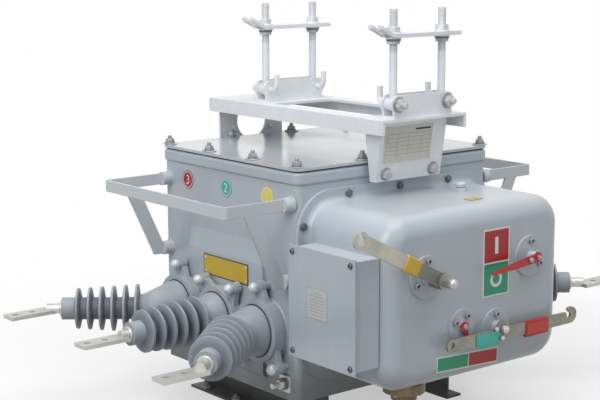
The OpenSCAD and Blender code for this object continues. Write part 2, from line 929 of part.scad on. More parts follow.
// Short pointer that shows the state of the spring, pointing down at rest
module spring_pointer() {
    z = housing_z - spring_drop;
    boss_y = face_y - plate_t - spring_boss_h;
    hub_y = boss_y - hub_gap;
    seat = spring_boss_h + plate_t / 2 - shaft_gap;
    tip_half = 3;
    color(signal_red) {
        front_rod(spring_x, z, boss_y + seat, pointer_shaft_r, seat + hub_gap + pointer_t);
        front_outline(spring_x, z, spring_angle, hub_y, pointer_t) {
            circle(pointer_hub_r - 1);
            polygon([[pointer_hub_r * 0.6, 0], [tip_half, -spring_len], [-tip_half, -spring_len],
                [-pointer_hub_r * 0.6, 0]]);
        }
    }
}

module cable_connector() {
    low_z = housing_z - housing_h / 2;
    ring_h = gland_len / 3;
    color(bronze)
        translate([gland_x, front_y - gland_y, low_z]) {
            translate([0, 0, -gland_collar_h])
                cylinder(r = gland_collar_r, h = gland_collar_h);
            translate([0, 0, -gland_collar_h - ring_h])
                cylinder(r = gland_r, h = ring_h);
            translate([0, 0, -gland_collar_h - gland_len])
                cylinder(r = gland_r - gland_step, h = gland_len);
        }
}

module earth_stud() {
    color(galvanized)
        translate([-tank_w / 2, front_y + earth_y, bushing_z - earth_drop])
            rotate([0, -90, 0]) {
                translate([-earth_pad / 2, -earth_pad / 2, 0])
                    cube([earth_pad, earth_pad, earth_pad_t]);
                cylinder(r = earth_r, h = earth_len);
            }
}

// Top plate with an opening, and a side flange down each long edge
module hanging_frame() {
    l = frame_front + frame_back;
    hole_l = l - frame_front_l - frame_back_l;
    color(steel_grey)
        translate([0, tank_y - frame_front, frame_z - frame_t]) {
            difference() {
                translate([-frame_w / 2, 0, 0])
                    cube([frame_w, l, frame_t]);
                translate([-frame_w / 2 + frame_strip_w, frame_front_l, -1])
                    cube([frame_w - 2 * frame_strip_w, hole_l, frame_t + 2]);
            }
            for (x = [-frame_w / 2, frame_w / 2 - frame_t])
                translate([x, 0, frame_t - frame_flange_h])
                    cube([frame_t, l, frame_flange_h]);
        }
}

// Height of a bracket from its lower edge to the underside of the frame
bracket_h = bracket_below + frame_rise - frame_t;

// Spacers between the lip and a bracket, starting at the lip and running to the front
module spacers(l) {
    for (x = [-1, 1])
        front_rod(x * bracket_bolt_pitch / 2, lip_z + lip_h / 2, 0, spacer_r, l);
}

// Leaning plate with two wings, folded back towards the tank
module front_bracket() {
    y0 = tank_y - lip_d / 2;
    low_y = -bracket_gap;
    top_y = low_y - bracket_lean;
    plate = [[low_y, 0], [low_y - bracket_t, 0], [top_y - bracket_t, bracket_h], [top_y, bracket_h]];
    wing = [[low_y - bracket_t, 0], [top_y - bracket_t, bracket_h], [top_y - bracket_t + wing_top, bracket_h],
        [low_y - bracket_t + wing_bottom, 0]];
    mid_rise = (bracket_below + lip_h / 2) / bracket_h;
    color(steel_grey)
        translate([0, y0, 0]) {
            translate([-bracket_w / 2, 0, lip_z - bracket_below])
                rotate([90, 0, 90])
                    linear_extrude(bracket_w)
                        polygon(plate);
            for (x = [-bracket_w / 2, bracket_w / 2 - bracket_t])
                translate([x, 0, lip_z - bracket_below])
                    rotate([90, 0, 90])
                        linear_extrude(bracket_t)
                            polygon(wing);
            spacers(bracket_gap + bracket_lean * mid_rise + bracket_t / 2);
        }
}

// Upright plate with a large round hole
module rear_bracket() {
    y0 = tank_y + lip_d / 2;
    hole_z = frame_z - frame_flange_h - bracket_hole_r * 0.7;
    color(steel_grey)
        difference() {
            union() {
                translate([-bracket_w / 2, y0 + bracket_gap, lip_z - bracket_below])
                    cube([bracket_w, bracket_t, bracket_h]);
                translate([0, y0 + bracket_gap + bracket_t / 2, 0])
                    spacers(bracket_gap + bracket_t / 2);
            }
            front_rod(0, hole_z, y0 + bracket_gap + 2 * bracket_t, bracket_hole_r, 3 * bracket_t);
        }
}

// Children drawn for a clamp at its own middle, with the hooks facing +Y for way 1
module at_clamp(y, way) {
    translate([0, tank_y + y, frame_z])
        mirror([0, way > 0 ? 0 : 1, 0])
            children();
}

// One cheek plate: a lobe round each pin, a straight top between them and a narrower foot
module cheek(y) {
    translate([0, y + cheek_t / 2, 0])
        rotate([90, 0, 0])
            linear_extrude(cheek_t) {
                translate([-rod_pitch / 2, 0])
                    square([rod_pitch, cheek_h]);
                translate([-foot_w / 2, 0])
                    square([foot_w, pin_z]);
                for (x = [-rod_pitch / 2, rod_pitch / 2])
                    translate([x, pin_z])
                        circle(lobe_r);
            }
}

// Height of a cheek plate and width of its foot
cheek_h = pin_z + lobe_r;
foot_w = rod_pitch + 2 * (lobe_r - lobe_over);

// Pin through both cheeks: nut on the outer side, upturned hook on the inner side
module hook_pin(x) {
    half = cheek_gap / 2 + cheek_t;
    stub = nut_h + pin_r;
    translate([x, 0, pin_z]) {
        front_rod(0, 0, half + hook_r / 2, pin_r, 2 * half + hook_r / 2 + stub);
        front_rod(0, 0, -half, nut_r - 2, nut_h - 3, $fn = 6);
        translate([0, half + hook_r / 2, hook_r])
            rotate([0, 90, 0])
                rotate_extrude(angle = 90)
                    translate([hook_r, 0])
                        circle(pin_r);
        translate([0, half + hook_r / 2 + hook_r, hook_r])
            cylinder(r = pin_r, h = hook_up);
    }
}

module clamp_cheeks(y, way) {
    off = cheek_gap / 2 + cheek_t / 2;
    color(galvanized)
        at_clamp(y, way) {
            cheek(-off);
            cheek(off);
            translate([-foot_w / 2, -off, 0])
                cube([foot_w, 2 * off, cheek_t]);
            for (x = [-rod_pitch / 2, rod_pitch / 2])
                hook_pin(x);
        }
}

// Threaded rod with an eye on the hook pin, and a nut under and over the clamp bar
module clamp_rods(y, way) {
    color(galvanized)
        at_clamp(y, way)
            for (x = [-rod_pitch / 2, rod_pitch / 2])
                translate([x, 0, 0])
                    difference() {
                        union() {
                            translate([0, 0, pin_z])
                                cylinder(r = rod_r, h = rod_top - pin_z);
                            front_rod(0, pin_z, cheek_gap / 2 - rod_gap, eye_r, cheek_gap - 2 * rod_gap);
                            translate([0, 0, bar_rise - nut_h])
                                cylinder(r = nut_r, h = nut_h, $fn = 6);
                            translate([0, 0, bar_rise + top_bar_t])
                                cylinder(r = nut_r, h = nut_h, $fn = 6);
                        }
                        front_rod(0, pin_z, cheek_gap, pin_r + rod_gap, 2 * cheek_gap);
                    }
}

// Flat bar over both rods, with an upturned forked end
module clamp_bar(y, way) {
    bend_x = -rod_pitch / 2 - nut_r;
    rod_x = rod_pitch / 2;
    color(galvanized)
        at_clamp(y, way)
            translate([0, 0, bar_rise])
                difference() {
                    translate([0, top_bar_w / 2, 0])
                        rotate([90, 0, 0])
                            linear_extrude(top_bar_w)
                                polygon([[bend_x, 0], [top_bar_plain, 0], [top_bar_plain, top_bar_t],
                                    [bend_x, top_bar_t], [-top_bar_fork, top_bar_t + fork_rise],
                                    [-top_bar_fork, fork_rise]]);
                    translate([rod_x, 0, -1])
                        cylinder(r = rod_r + rod_gap, h = top_bar_t + 2);
                    translate([-rod_x, 0, -1])
                        cylinder(r = rod_r + rod_gap, h = top_bar_t + 2);
                    translate([-top_bar_fork - 1, -rod_r - rod_gap, -1])
                        cube([top_bar_fork + 1 - rod_x, 2 * (rod_r + rod_gap), fork_rise + top_bar_t + 2]);
                }
}

tank_body();
lid_gasket();
tank_lid();
support_rail(-1);  // support_rail_left
support_rail(1);  // support_rail_right
bushing(-1, -1);  // bushing_left_front
bushing(-1, 0);  // bushing_left_middle
bushing(-1, 1);  // bushing_left_rear
bushing(1, -1);  // bushing_right_front
bushing(1, 0);  // bushing_right_middle
bushing(1, 1);  // bushing_right_rear
terminal(-1, -1);  // terminal_left_front
terminal(-1, 0);  // terminal_left_middle
terminal(-1, 1);  // terminal_left_rear
terminal(1, -1);  // terminal_right_front
terminal(1, 0);  // terminal_right_middle
terminal(1, 1);  // terminal_right_rear
bushing_clamp(-1, -1);  // clamp_left_front
bushing_clamp(-1, 0);  // clamp_left_middle
bushing_clamp(-1, 1);  // clamp_left_rear
bushing_clamp(1, -1);  // clamp_right_front
bushing_clamp(1, 0);  // clamp_right_middle
bushing_clamp(1, 1);  // clamp_right_rear
guard_rail(-1);  // guard_rail_left
guard_rail(1);  // guard_rail_right
mechanism_housing();
terminal_box();
terminal_box_cover();
charging_plate();
lever_plate();
position_plate();
spring_plate();
charging_handle();
open_close_lever();
position_pointer();
spring_pointer();
cable_connector();
earth_stud();
hanging_frame();
front_bracket();
rear_bracket();
clamp_cheeks(-clamp_front, 1);  // front_clamp_cheeks
clamp_cheeks(clamp_back, -1);  // rear_clamp_cheeks
clamp_rods(-clamp_front, 1);  // front_clamp_rods
clamp_rods(clamp_back, -1);  // rear_clamp_rods
clamp_bar(-clamp_front, 1);  // front_clamp_bar
clamp_bar(clamp_back, -1);  // rear_clamp_bar
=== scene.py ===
import math

import bmesh
import bpy
from mathutils import Matrix, Vector


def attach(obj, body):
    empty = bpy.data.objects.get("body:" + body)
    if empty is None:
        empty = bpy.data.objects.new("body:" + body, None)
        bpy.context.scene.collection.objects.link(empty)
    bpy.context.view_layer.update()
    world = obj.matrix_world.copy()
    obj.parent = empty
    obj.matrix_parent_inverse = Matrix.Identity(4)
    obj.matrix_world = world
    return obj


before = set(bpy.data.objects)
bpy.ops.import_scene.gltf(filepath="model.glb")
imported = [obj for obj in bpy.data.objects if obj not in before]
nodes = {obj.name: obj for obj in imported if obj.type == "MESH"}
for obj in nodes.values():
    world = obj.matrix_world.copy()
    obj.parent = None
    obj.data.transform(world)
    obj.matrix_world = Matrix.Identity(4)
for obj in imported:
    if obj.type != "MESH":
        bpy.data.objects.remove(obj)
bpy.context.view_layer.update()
scene = bpy.context.scene
mm = 0.001  # pieces are sized in millimetres; materials, camera and lamps are in metres
sides = (-1, 1)  # left and right, or low and high
toFront, toRear, toLeft = (0, -1, 0), (0, 1, 0), (-1, 0, 0)
upward, downward = (0, 0, 1), (0, 0, -1)
print("frame loaded with", len(nodes), "nodes")


# camera of the photograph
photoView = {
    "place": (-1.98105, -2.25482, 0.99238),
    "yaw": 38.81,
    "pitch": 10.11,
    "roll": -0.21,
    "lens": 84.954,
    "sensor": 36.0,
}


def addCamera(view):
    yaw, pitch, roll = (math.radians(view[k]) for k in ("yaw", "pitch", "roll"))
    level = math.cos(pitch)
    ahead = Vector((math.sin(yaw) * level, math.cos(yaw) * level, -math.sin(pitch)))
    right = Vector((math.cos(yaw), -math.sin(yaw), 0))
    up = right.cross(ahead)
    side = right * math.cos(roll) + up * math.sin(roll)
    top = up * math.cos(roll) - right * math.sin(roll)
    data = bpy.data.cameras.new("photoCamera")
    data.lens, data.sensor_width = view["lens"], view["sensor"]
    camera = bpy.data.objects.new("photoCamera", data)
    turn = Matrix((side, top, -ahead)).transposed().to_4x4()
    camera.matrix_world = Matrix.Translation(view["place"]) @ turn
    scene.collection.objects.link(camera)
    scene.camera = camera


addCamera(photoView)
print("camera set")


def sumOf(operation, flipped=False):
    def work(self, other):
        values = (other, self) if flipped else (self, other)
        return self.board.math(operation, *values)

    return work


class Wire:  # one socket of a node; sums on it put Math nodes on its board
    def __init__(self, board, socket):
        self.board, self.socket = board, socket

    __add__, __radd__ = sumOf("ADD"), sumOf("ADD", True)
    __sub__, __rsub__ = sumOf("SUBTRACT"), sumOf("SUBTRACT", True)
    __mul__, __rmul__ = sumOf("MULTIPLY"), sumOf("MULTIPLY", True)
    __gt__, __lt__ = sumOf("GREATER_THAN"), sumOf("LESS_THAN")


class Board:  # a node tree and the one way that nodes are put on it
    def __init__(self, tree):
        self.tree = tree

    def node(self, kind, settings={}, sockets={}, out=0):
        made = self.tree.nodes.new("ShaderNode" + kind)
        for key, value in settings.items():
            setattr(made, key, value)
        for key, value in sockets.items():
            self.feed(made.inputs[key], value)
        return Wire(self, made.outputs[out])

    def feed(self, socket, value):
        if isinstance(value, Wire):
            self.tree.links.new(value.socket, socket)
        elif socket.type == "RGBA" and len(value) == 3:
            socket.default_value = (*value, 1)
        else:
            socket.default_value = value

    def math(self, operation, *values):
        return self.node("Math", {"operation": operation}, dict(enumerate(values)))

    def mix(self, share, first, second):  # colours only
        return self.node("Mix", {"data_type": "RGBA"}, {0: share, 6: first, 7: second}, 2)

    def ease(self, value, low, high):  # 0 under low, 1 over high
        ends = {"Value": value, "From Min": low, "From Max": high}
        return self.node("MapRange", {"interpolation_type": "SMOOTHSTEP"}, ends)


edgeLook = {"samples": 4, "mask": (0.02, 0.22)}
shaderSockets = {
    "colour": "Base Color",
    "rough": "Roughness",
    "metal": "Metallic",
    "coat": "Coat Weight",
    "normal": "Normal",
}


class Finish(Board):  # a material with its place, its shader and the patterns that most of them use
    def __init__(self, name):
        self.material = bpy.data.materials.new(name)
        self.material.use_nodes = True
        super().__init__(self.material.node_tree)
        self.shader = self.tree.nodes["Principled BSDF"]
        self.place = self.node("TexCoord", out="Object")
        self.facing = self.node("TexCoord", out="Normal")

    def along(self, axis, vector=None):  # one coordinate in metres
        return self.node("SeparateXYZ", {}, {0: vector or self.place}, "XYZ".index(axis))

    def noise(self, scale, detail=3.0, rough=0.55, stretch=None):
        vector = self.place
        if stretch:
            vector = self.node("Mapping", {}, {"Vector": self.place, "Scale": stretch})
        grain = {"Vector": vector, "Scale": scale, "Detail": detail, "Roughness": rough}
        return self.node("TexNoise", {}, grain)

    def cells(self, scale):
        return self.node("TexVoronoi", {}, {"Vector": self.place, "Scale": scale}, "Color")

    def edges(self, radius):  # rounded normal, and a mask of the edges that it rounds
        soft = self.node("Bevel", {"samples": edgeLook["samples"]}, {"Radius": radius})
        true = self.node("NewGeometry", out="Normal")
        level = self.node("VectorMath", {"operation": "DOT_PRODUCT"}, {0: soft, 1: true}, "Value")
        return soft, self.ease(1 - level, *edgeLook["mask"])

    def bump(self, height, strength, distance, soft=None):
        sockets = {"Height": height, "Strength": strength, "Distance": distance}
        if soft:
            sockets["Normal"] = soft
        return self.node("Bump", {}, sockets)

    def give(self, **values):
        for key, value in values.items():
            self.feed(self.shader.inputs[shaderSockets[key]], value)
        return self.material


# satin paint of tank, housing and boxes; "low" is where painted shade on the lower walls fades out, going up
paintLook = {
    "colour": (0.415, 0.466, 0.512), "drift": (0.378, 0.427, 0.472), "dust": (0.55, 0.58, 0.60),
    # the last two values on the next line are the colour and share of the painted shade low on the walls
    "dusty": 1.0, "speck": (0.20, 0.21, 0.22), "film": (0.05, 0.056, 0.048), "filmed": 0.72,
    "low": (0.09, 0.215), "rough": 0.25, "peel": 0.05, "coat": 0.2,
}
lidLook = {**paintLook, "rough": 0.06, "dusty": 0.25, "peel": 0.02, "colour": (0.48, 0.505, 0.525)}
guardLook = {**paintLook, "colour": (0.53, 0.57, 0.605), "drift": (0.47, 0.51, 0.545)}


def satinPaint(name, look):
    f = Finish(name)
    soft, edge = f.edges(1.6 * mm)
    drift = f.ease(f.noise(4.5, 4), 0.35, 0.75)
    streak = f.ease(f.noise(3, 3, 0.6, (9, 9, 0.7)), 0.5, 0.8)  # faint runs down the walls
    top = f.ease(f.along("Z", f.facing), 0.55, 0.98)
    speck = f.ease(f.noise(260, 2), 0.62, 0.75)
    dust = top * (0.25 + 0.35 * f.noise(11, 4)) * look["dusty"]
    # painted shade: 1 low down on the walls, fading to 0 going up
    low = 1 - f.ease(f.along("Z"), *look["low"])
    colour = f.mix(drift * 0.7, look["colour"], look["drift"])
    colour = f.mix(streak * 0.18, colour, look["dust"])
    colour = f.mix(dust, colour, look["dust"])
    colour = f.mix(speck * 0.10, colour, look["speck"])
    colour = f.mix(edge * 0.45, colour, look["dust"])
    # paints the shade onto the lower walls in an olive tone
    colour = f.mix(low * look["filmed"], colour, look["film"])
    rough = look["rough"] + 0.16 * f.noise(7, 3) + 0.2 * dust
    height = f.noise(380, 2) + 0.6 * f.noise(60, 2)
    normal = f.bump(height, look["peel"], 0.4 * mm, soft)
    return f.give(colour=colour, rough=rough, coat=look["coat"], normal=normal)


# thick-dipped zinc of the hanging frame and its clamps
zincLook = {
    "colour": (0.76, 0.785, 0.82), "dull": (0.65, 0.67, 0.70), "stain": (0.40, 0.38, 0.33),
    "edge": (0.78, 0.79, 0.80), "groove": (0.26, 0.265, 0.27), "metal": 0.22, "rough": 0.40,
}
rodThread = {"from": 0.786, "to": 0.90, "pitch": 2.6 * mm}


def dippedZinc(name, look, thread=None):
    f = Finish(name)
    soft, edge = f.edges(1.2 * mm)
    spangle = f.along("X", f.cells(95))
    cloud = f.ease(f.noise(14, 4), 0.35, 0.72)
    stain = f.ease(f.noise(9, 5, 0.65, (1, 1, 0.35)), 0.6, 0.82)
    colour = f.mix(0.22 * spangle + 0.4 * cloud, look["colour"], look["dull"])
    colour = f.mix(stain * 0.22, colour, look["stain"])
    colour = f.mix(edge * 0.4, colour, look["edge"])
    rough = look["rough"] + 0.14 * spangle + 0.10 * f.noise(40, 3)
    height = 0.3 * f.noise(160, 3) + 0.25 * spangle
    strength = 0.12
    if thread:  # screw thread over part of a rod's height
        up = f.along("Z")
        held = (up > thread["from"]) * (up < thread["to"])
        wave = f.math("SINE", up * (2 * math.pi / thread["pitch"])) * 0.5 + 0.5
        colour = f.mix(held * (1 - wave) * 0.4, colour, look["groove"])
        height = height + held * wave * 3
        strength = 0.55
    normal = f.bump(height, strength, 0.5 * mm, soft)
    return f.give(colour=colour, rough=rough, metal=look["metal"], normal=normal)


# grey silicone rubber of the bushings, with painted shade down between the sheds
rubberLook = {
    "colour": (0.305, 0.332, 0.374), "shade": (0.25, 0.275, 0.315), "pale": (0.46, 0.485, 0.515),
    # low and gap on the next line are the colour and strength of the painted shade between the sheds
    "low": (0.115, 0.128, 0.148), "gap": 0.82, "rough": 0.46, "coat": 0.06,
}
# where the bushings lie, for the painted shade between their sheds
shedShadeZones = {
    "tank": (0.1222, 0.224),  # Y and Z of the middle bushing
    "bend": (0.3535, 0.1415),  # X of the bends, and Y of the outer ones from the middle
    "fan": 38.3,
    "split": 0.072,  # the outer bushings lie past this
    "shift": 0.3095,
    "ribbed": (0.036, 0.178),
    "deep": (0.027, 0.051),
}


def shedShade(f, look):  # painted shade: 1 on the core between two sheds, 0 on the rims and off the ribbed length
    x = f.math("ABSOLUTE", f.along("X"))
    y = f.math("ABSOLUTE", f.along("Y") - look["tank"][0])
    z = f.along("Z") - look["tank"][1]
    fan = math.radians(look["fan"])
    u, v = x - look["bend"][0], y - look["bend"][1]
    outer = y > look["split"]
    far = outer * (u * math.cos(fan) + v * math.sin(fan)) + (1 - outer) * (x - look["shift"])
    off = outer * (u * math.sin(fan) - v * math.cos(fan)) + (1 - outer) * y
    ribbed = (far > look["ribbed"][0]) * (far < look["ribbed"][1])
    return ribbed * (1 - f.ease(f.math("SQRT", off * off + z * z), *look["deep"]))


def siliconeRubber(name, look):
    f = Finish(name)
    soft, edge = f.edges(1.8 * mm)
    top = f.ease(f.along("Z", f.facing), 0.35, 0.95)
    cloud = f.noise(16, 4)
    bloom = top * (0.18 + 0.45 * f.ease(cloud, 0.35, 0.7))
    colour = f.mix(0.35 * f.noise(34, 3), look["colour"], look["shade"])
    colour = f.mix(bloom, colour, look["pale"])
    # painted highlight: the rounded rims of the sheds are made paler
    colour = f.mix(edge * 0.3, colour, look["pale"])
    # painted shade in the crevices between the sheds
    colour = f.mix(look["gap"] * shedShade(f, shedShadeZones), colour, look["low"])
    rough = look["rough"] + 0.2 * cloud + 0.12 * bloom
    normal = f.bump(f.noise(700, 2), 0.06, 0.3 * mm, soft)
    return f.give(colour=colour, rough=rough, coat=look["coat"], normal=normal)


# rough light alloy of the bushing clamps
castLook = {
    "colour": (0.40, 0.437, 0.478), "low": (0.30, 0.33, 0.365), "edge": (0.60, 0.62, 0.65),
    "rough": 0.45, "metal": 0.1,
}


def castAlloy(name, look):
    f = Finish(name)
    soft, edge = f.edges(1.5 * mm)
    grain = f.noise(320, 4, 0.65)
    cloud = f.ease(f.noise(20, 4), 0.3, 0.75)
    colour = f.mix(0.55 * cloud, look["colour"], look["low"])
    colour = f.mix(edge * 0.5, colour, look["edge"])
    rough = look["rough"] + 0.22 * grain
    return f.give(colour=colour, rough=rough, metal=look["metal"], normal=f.bump(grain, 0.22, 0.5 * mm, soft))


# metals that are tinned, plated, oiled or turned: colour, dull colour, roughness and metallic
metals = {
    "tinned": ((0.57, 0.565, 0.535), (0.46, 0.455, 0.425), 0.30, 0.65),
    "capAlloy": ((0.64, 0.66, 0.68), (0.54, 0.56, 0.58), 0.28, 0.25),
    "boltZinc": ((0.56, 0.565, 0.57), (0.40, 0.405, 0.41), 0.30, 0.6),
    "boltGrey": ((0.33, 0.345, 0.36), (0.22, 0.23, 0.24), 0.32, 0.6),
    "boltDark": ((0.16, 0.165, 0.17), (0.085, 0.088, 0.09), 0.36, 0.6),
    "shaftBright": ((0.47, 0.465, 0.45), (0.36, 0.355, 0.34), 0.26, 0.9),
}
metalBrush = {"tinned": (1, 6, 6)}
evenBrush = (1, 1, 1)
metalWear = {"boltGrey": (0.6, 0.6, 0.6), "boltDark": (0.36, 0.36, 0.36)}  # rubbed edges
brightWear = (0.7, 0.69, 0.66)


def workedMetal(name, colour, dull, rough, metal):
    f = Finish(name)
    soft, edge = f.edges(0.8 * mm)
    cloud = f.ease(f.noise(26, 4), 0.32, 0.72)
    lines = f.noise(90, 4, 0.7, metalBrush.get(name, evenBrush))
    mixed = f.mix(cloud * 0.65, colour, dull)
    mixed = f.mix(f.ease(lines, 0.55, 0.75) * 0.3, mixed, dull)
    mixed = f.mix(edge * 0.5, mixed, metalWear.get(name, brightWear))
    normal = f.bump(lines, 0.08, 0.3 * mm, soft)
    return f.give(colour=mixed, rough=rough + 0.22 * lines, metal=metal, normal=normal)


# printed or enamelled sheets: colour, faded colour and, where they differ, roughness and grain
sheets = {
    "markRed": ((0.325, 0.006, 0.008), (0.355, 0.024, 0.024)),
    "markGreen": ((0.006, 0.25, 0.133), (0.03, 0.285, 0.168)),
    "markTeal": ((0.035, 0.38, 0.31), (0.10, 0.43, 0.36)),
    "markYellow": ((0.54, 0.365, 0.02), (0.58, 0.43, 0.08)),
    "markLemon": ((0.72, 0.60, 0.045), (0.74, 0.65, 0.15)),
    "markOrange": ((0.56, 0.33, 0.05), (0.62, 0.46, 0.17)),
    "markWhite": ((0.72, 0.72, 0.70), (0.62, 0.62, 0.60)),
    "markBlack": ((0.03, 0.028, 0.025), (0.07, 0.066, 0.06)),
    "markTealPale": ((0.035, 0.42, 0.33), (0.085, 0.45, 0.37)),
    "markRedPale": ((0.48, 0.028, 0.024), (0.51, 0.065, 0.055)),
    "plateBeige": ((0.63, 0.62, 0.56), (0.56, 0.55, 0.50), 0.36, 0.06),
    "plateRule": ((0.36, 0.355, 0.32), (0.42, 0.41, 0.37), 0.4, 0.05),
    "labelPale": ((0.50, 0.52, 0.55), (0.44, 0.46, 0.49), 0.4, 0.05),
}


def sheetFinish(name, colour, fade, rough=0.32, grain=0.04):
    f = Finish(name)
    cloud = f.ease(f.noise(38, 4), 0.3, 0.75)
    rub = f.ease(f.noise(150, 4, 0.7), 0.6, 0.78)
    mixed = f.mix(cloud * 0.4, colour, fade)
    mixed = f.mix(rub * 0.16, mixed, fade)
    normal = f.bump(f.noise(220, 2), grain, 0.3 * mm)
    return f.give(colour=mixed, rough=rough + 0.18 * cloud, normal=normal)


# black enamel of the rails, dusty on top and rubbed at the edges
railLook = {
    "colour": (0.028, 0.030, 0.031), "pale": (0.060, 0.062, 0.060), "dust": (0.17, 0.17, 0.16),
    "edge": (0.13, 0.125, 0.12), "rough": 0.42,
}


def railEnamel(name, look):
    f = Finish(name)
    soft, edge = f.edges(1.2 * mm)
    cloud = f.ease(f.noise(13, 5), 0.35, 0.75)
    dust = f.ease(f.along("Z", f.facing), 0.4, 0.95) * 0.4
    colour = f.mix(cloud * 0.6, look["colour"], look["pale"])
    colour = f.mix(dust, colour, look["dust"])
    colour = f.mix(edge * 0.5, colour, look["edge"])
    normal = f.bump(f.noise(240, 3), 0.12, 0.4 * mm, soft)
    return f.give(colour=colour, rough=look["rough"] + 0.2 * cloud, normal=normal)


# soft black rubber of the gaskets
gasketLook = {"colour": (0.018, 0.019, 0.020), "pale": (0.045, 0.046, 0.047), "rough": 0.6}


def gasketRubber(name, look):
    f = Finish(name)
    cloud = f.noise(45, 4)
    colour = f.mix(cloud, look["colour"], look["pale"])
    normal = f.bump(f.noise(420, 2), 0.15, 0.3 * mm)
    return f.give(colour=colour, rough=look["rough"] + 0.25 * cloud, normal=normal)


# knurled bronze of the cable connector
knurlLook = {
    "teeth": 46, "from": 0.1137, "to": 0.129, "centre": (-0.135, -0.2853),
    "colour": (0.185, 0.145, 0.082), "dull": (0.10, 0.088, 0.062), "groove": (0.035, 0.03, 0.022),
    "edge": (0.36, 0.29, 0.17), "rough": 0.40, "metal": 0.75,
}


def knurledBronze(name, look):
    f = Finish(name)
    soft, edge = f.edges(1.0 * mm)
    x = f.along("X") - look["centre"][0]
    y = f.along("Y") - look["centre"][1]
    up = f.along("Z")
    held = (up > look["from"]) * (up < look["to"])
    teeth = f.math("SINE", f.math("ARCTAN2", y, x) * look["teeth"]) * 0.5 + 0.5
    cloud = f.ease(f.noise(35, 4), 0.3, 0.75)
    colour = f.mix(cloud * 0.7, look["colour"], look["dull"])
    colour = f.mix(held * (1 - teeth) * 0.6, colour, look["groove"])
    colour = f.mix(edge * 0.4, colour, look["edge"])
    normal = f.bump(held * teeth + 0.08 * f.noise(150, 3), 0.6, 1.2 * mm, soft)
    return f.give(colour=colour, rough=look["rough"] + 0.2 * cloud, metal=look["metal"], normal=normal)


# olive passivated steel of handle and lever
steelLook = {"band": (0.44, 0.40, 0.30), "edge": (0.56, 0.54, 0.47), "rough": 0.34, "metal": 0.7}
handleLook = {**steelLook, "colour": (0.50, 0.485, 0.41), "dull": (0.37, 0.365, 0.325)}
leverLook = {**steelLook, "colour": (0.285, 0.275, 0.218), "dull": (0.225, 0.22, 0.185)}

# the handle has a painted dark reflection by its hub, and in front of the bar its shaft is bare with a bright
# tip
shaftLook = {
    "bar": -0.4094, "tip": -0.4262, "hub": (-0.147, 0.3735), "slope": 27, "oily": (0.062, 0.128),
    "oil": (0.135, 0.138, 0.125), "bare": (0.31, 0.305, 0.29), "bright": (0.66, 0.65, 0.63),
}


def passivatedSteel(name, look, shaft=None):
    f = Finish(name)
    soft, edge = f.edges(0.8 * mm)
    cloud = f.ease(f.noise(24, 5), 0.3, 0.72)
    bands = f.ease(f.noise(55, 4, 0.7, (1, 1, 3)), 0.45, 0.75)
    colour = f.mix(cloud, look["colour"], look["dull"])
    colour = f.mix(bands * 0.25, colour, look["band"])
    if shaft:
        slope = math.radians(shaft["slope"])
        across, up = shaft["hub"][0] - f.along("X"), f.along("Z") - shaft["hub"][1]
        far = across * math.cos(slope) + up * math.sin(slope) + 0.03 * (cloud - 0.5)
        # painted dark reflection on the handle, strongest by its hub
        colour = f.mix(0.85 - 0.85 * f.ease(far, *shaft["oily"]), colour, shaft["oil"])
    colour = f.mix(edge * 0.45, colour, look["edge"])
    rough = look["rough"] + 0.2 * cloud
    if shaft:
        deep = f.along("Y")
        bright = deep < shaft["tip"]
        colour = f.mix(deep < shaft["bar"], colour, shaft["bare"])
        colour = f.mix(bright, colour, shaft["bright"])
        rough = rough - 0.12 * bright
    normal = f.bump(cloud + 0.4 * bands, 0.06, 0.3 * mm, soft)
    return f.give(colour=colour, rough=rough, metal=look["metal"], normal=normal)


# red enamel of the two pointers
pointerLook = {
    "colour": (0.45, 0.007, 0.009), "dull": (0.34, 0.006, 0.008), "edge": (0.58, 0.075, 0.06),
    "rough": 0.30, "coat": 0.2,
}


def pointerEnamel(name, look):
    f = Finish(name)
    soft, edge = f.edges(0.7 * mm)
    cloud = f.ease(f.noise(60, 4), 0.3, 0.75)
    colour = f.mix(cloud * 0.5, look["colour"], look["dull"])
    colour = f.mix(edge * 0.3, colour, look["edge"])
    normal = f.bump(f.noise(300, 2), 0.06, 0.3 * mm, soft)
    return f.give(colour=colour, rough=look["rough"] + 0.15 * cloud, coat=look["coat"], normal=normal)


recipes = {
    "tankPaint": (satinPaint, paintLook),
    "lidPaint": (satinPaint, lidLook),
    "guardPaint": (satinPaint, guardLook),
    "silicone": (siliconeRubber, rubberLook),
    "gasket": (gasketRubber, gasketLook),
    "rail": (railEnamel, railLook),
    "zinc": (dippedZinc, zincLook),
    "threadedZinc": (dippedZinc, zincLook, rodThread),
    "cast": (castAlloy, castLook),
    "handleSteel": (passivatedSteel, handleLook, shaftLook),
    "leverSteel": (passivatedSteel, leverLook),
    "pointerRed": (pointerEnamel, pointerLook),
    "bronze": (knurledBronze, knurlLook),
}
recipes.update({name: (workedMetal, *look) for name, look in metals.items()})
recipes.update({name: (sheetFinish, *look) for name, look in sheets.items()})
finishes = {name: make(name, *looks) for name, (make, *looks) in recipes.items()}
print("finishes ready:", len(finishes))

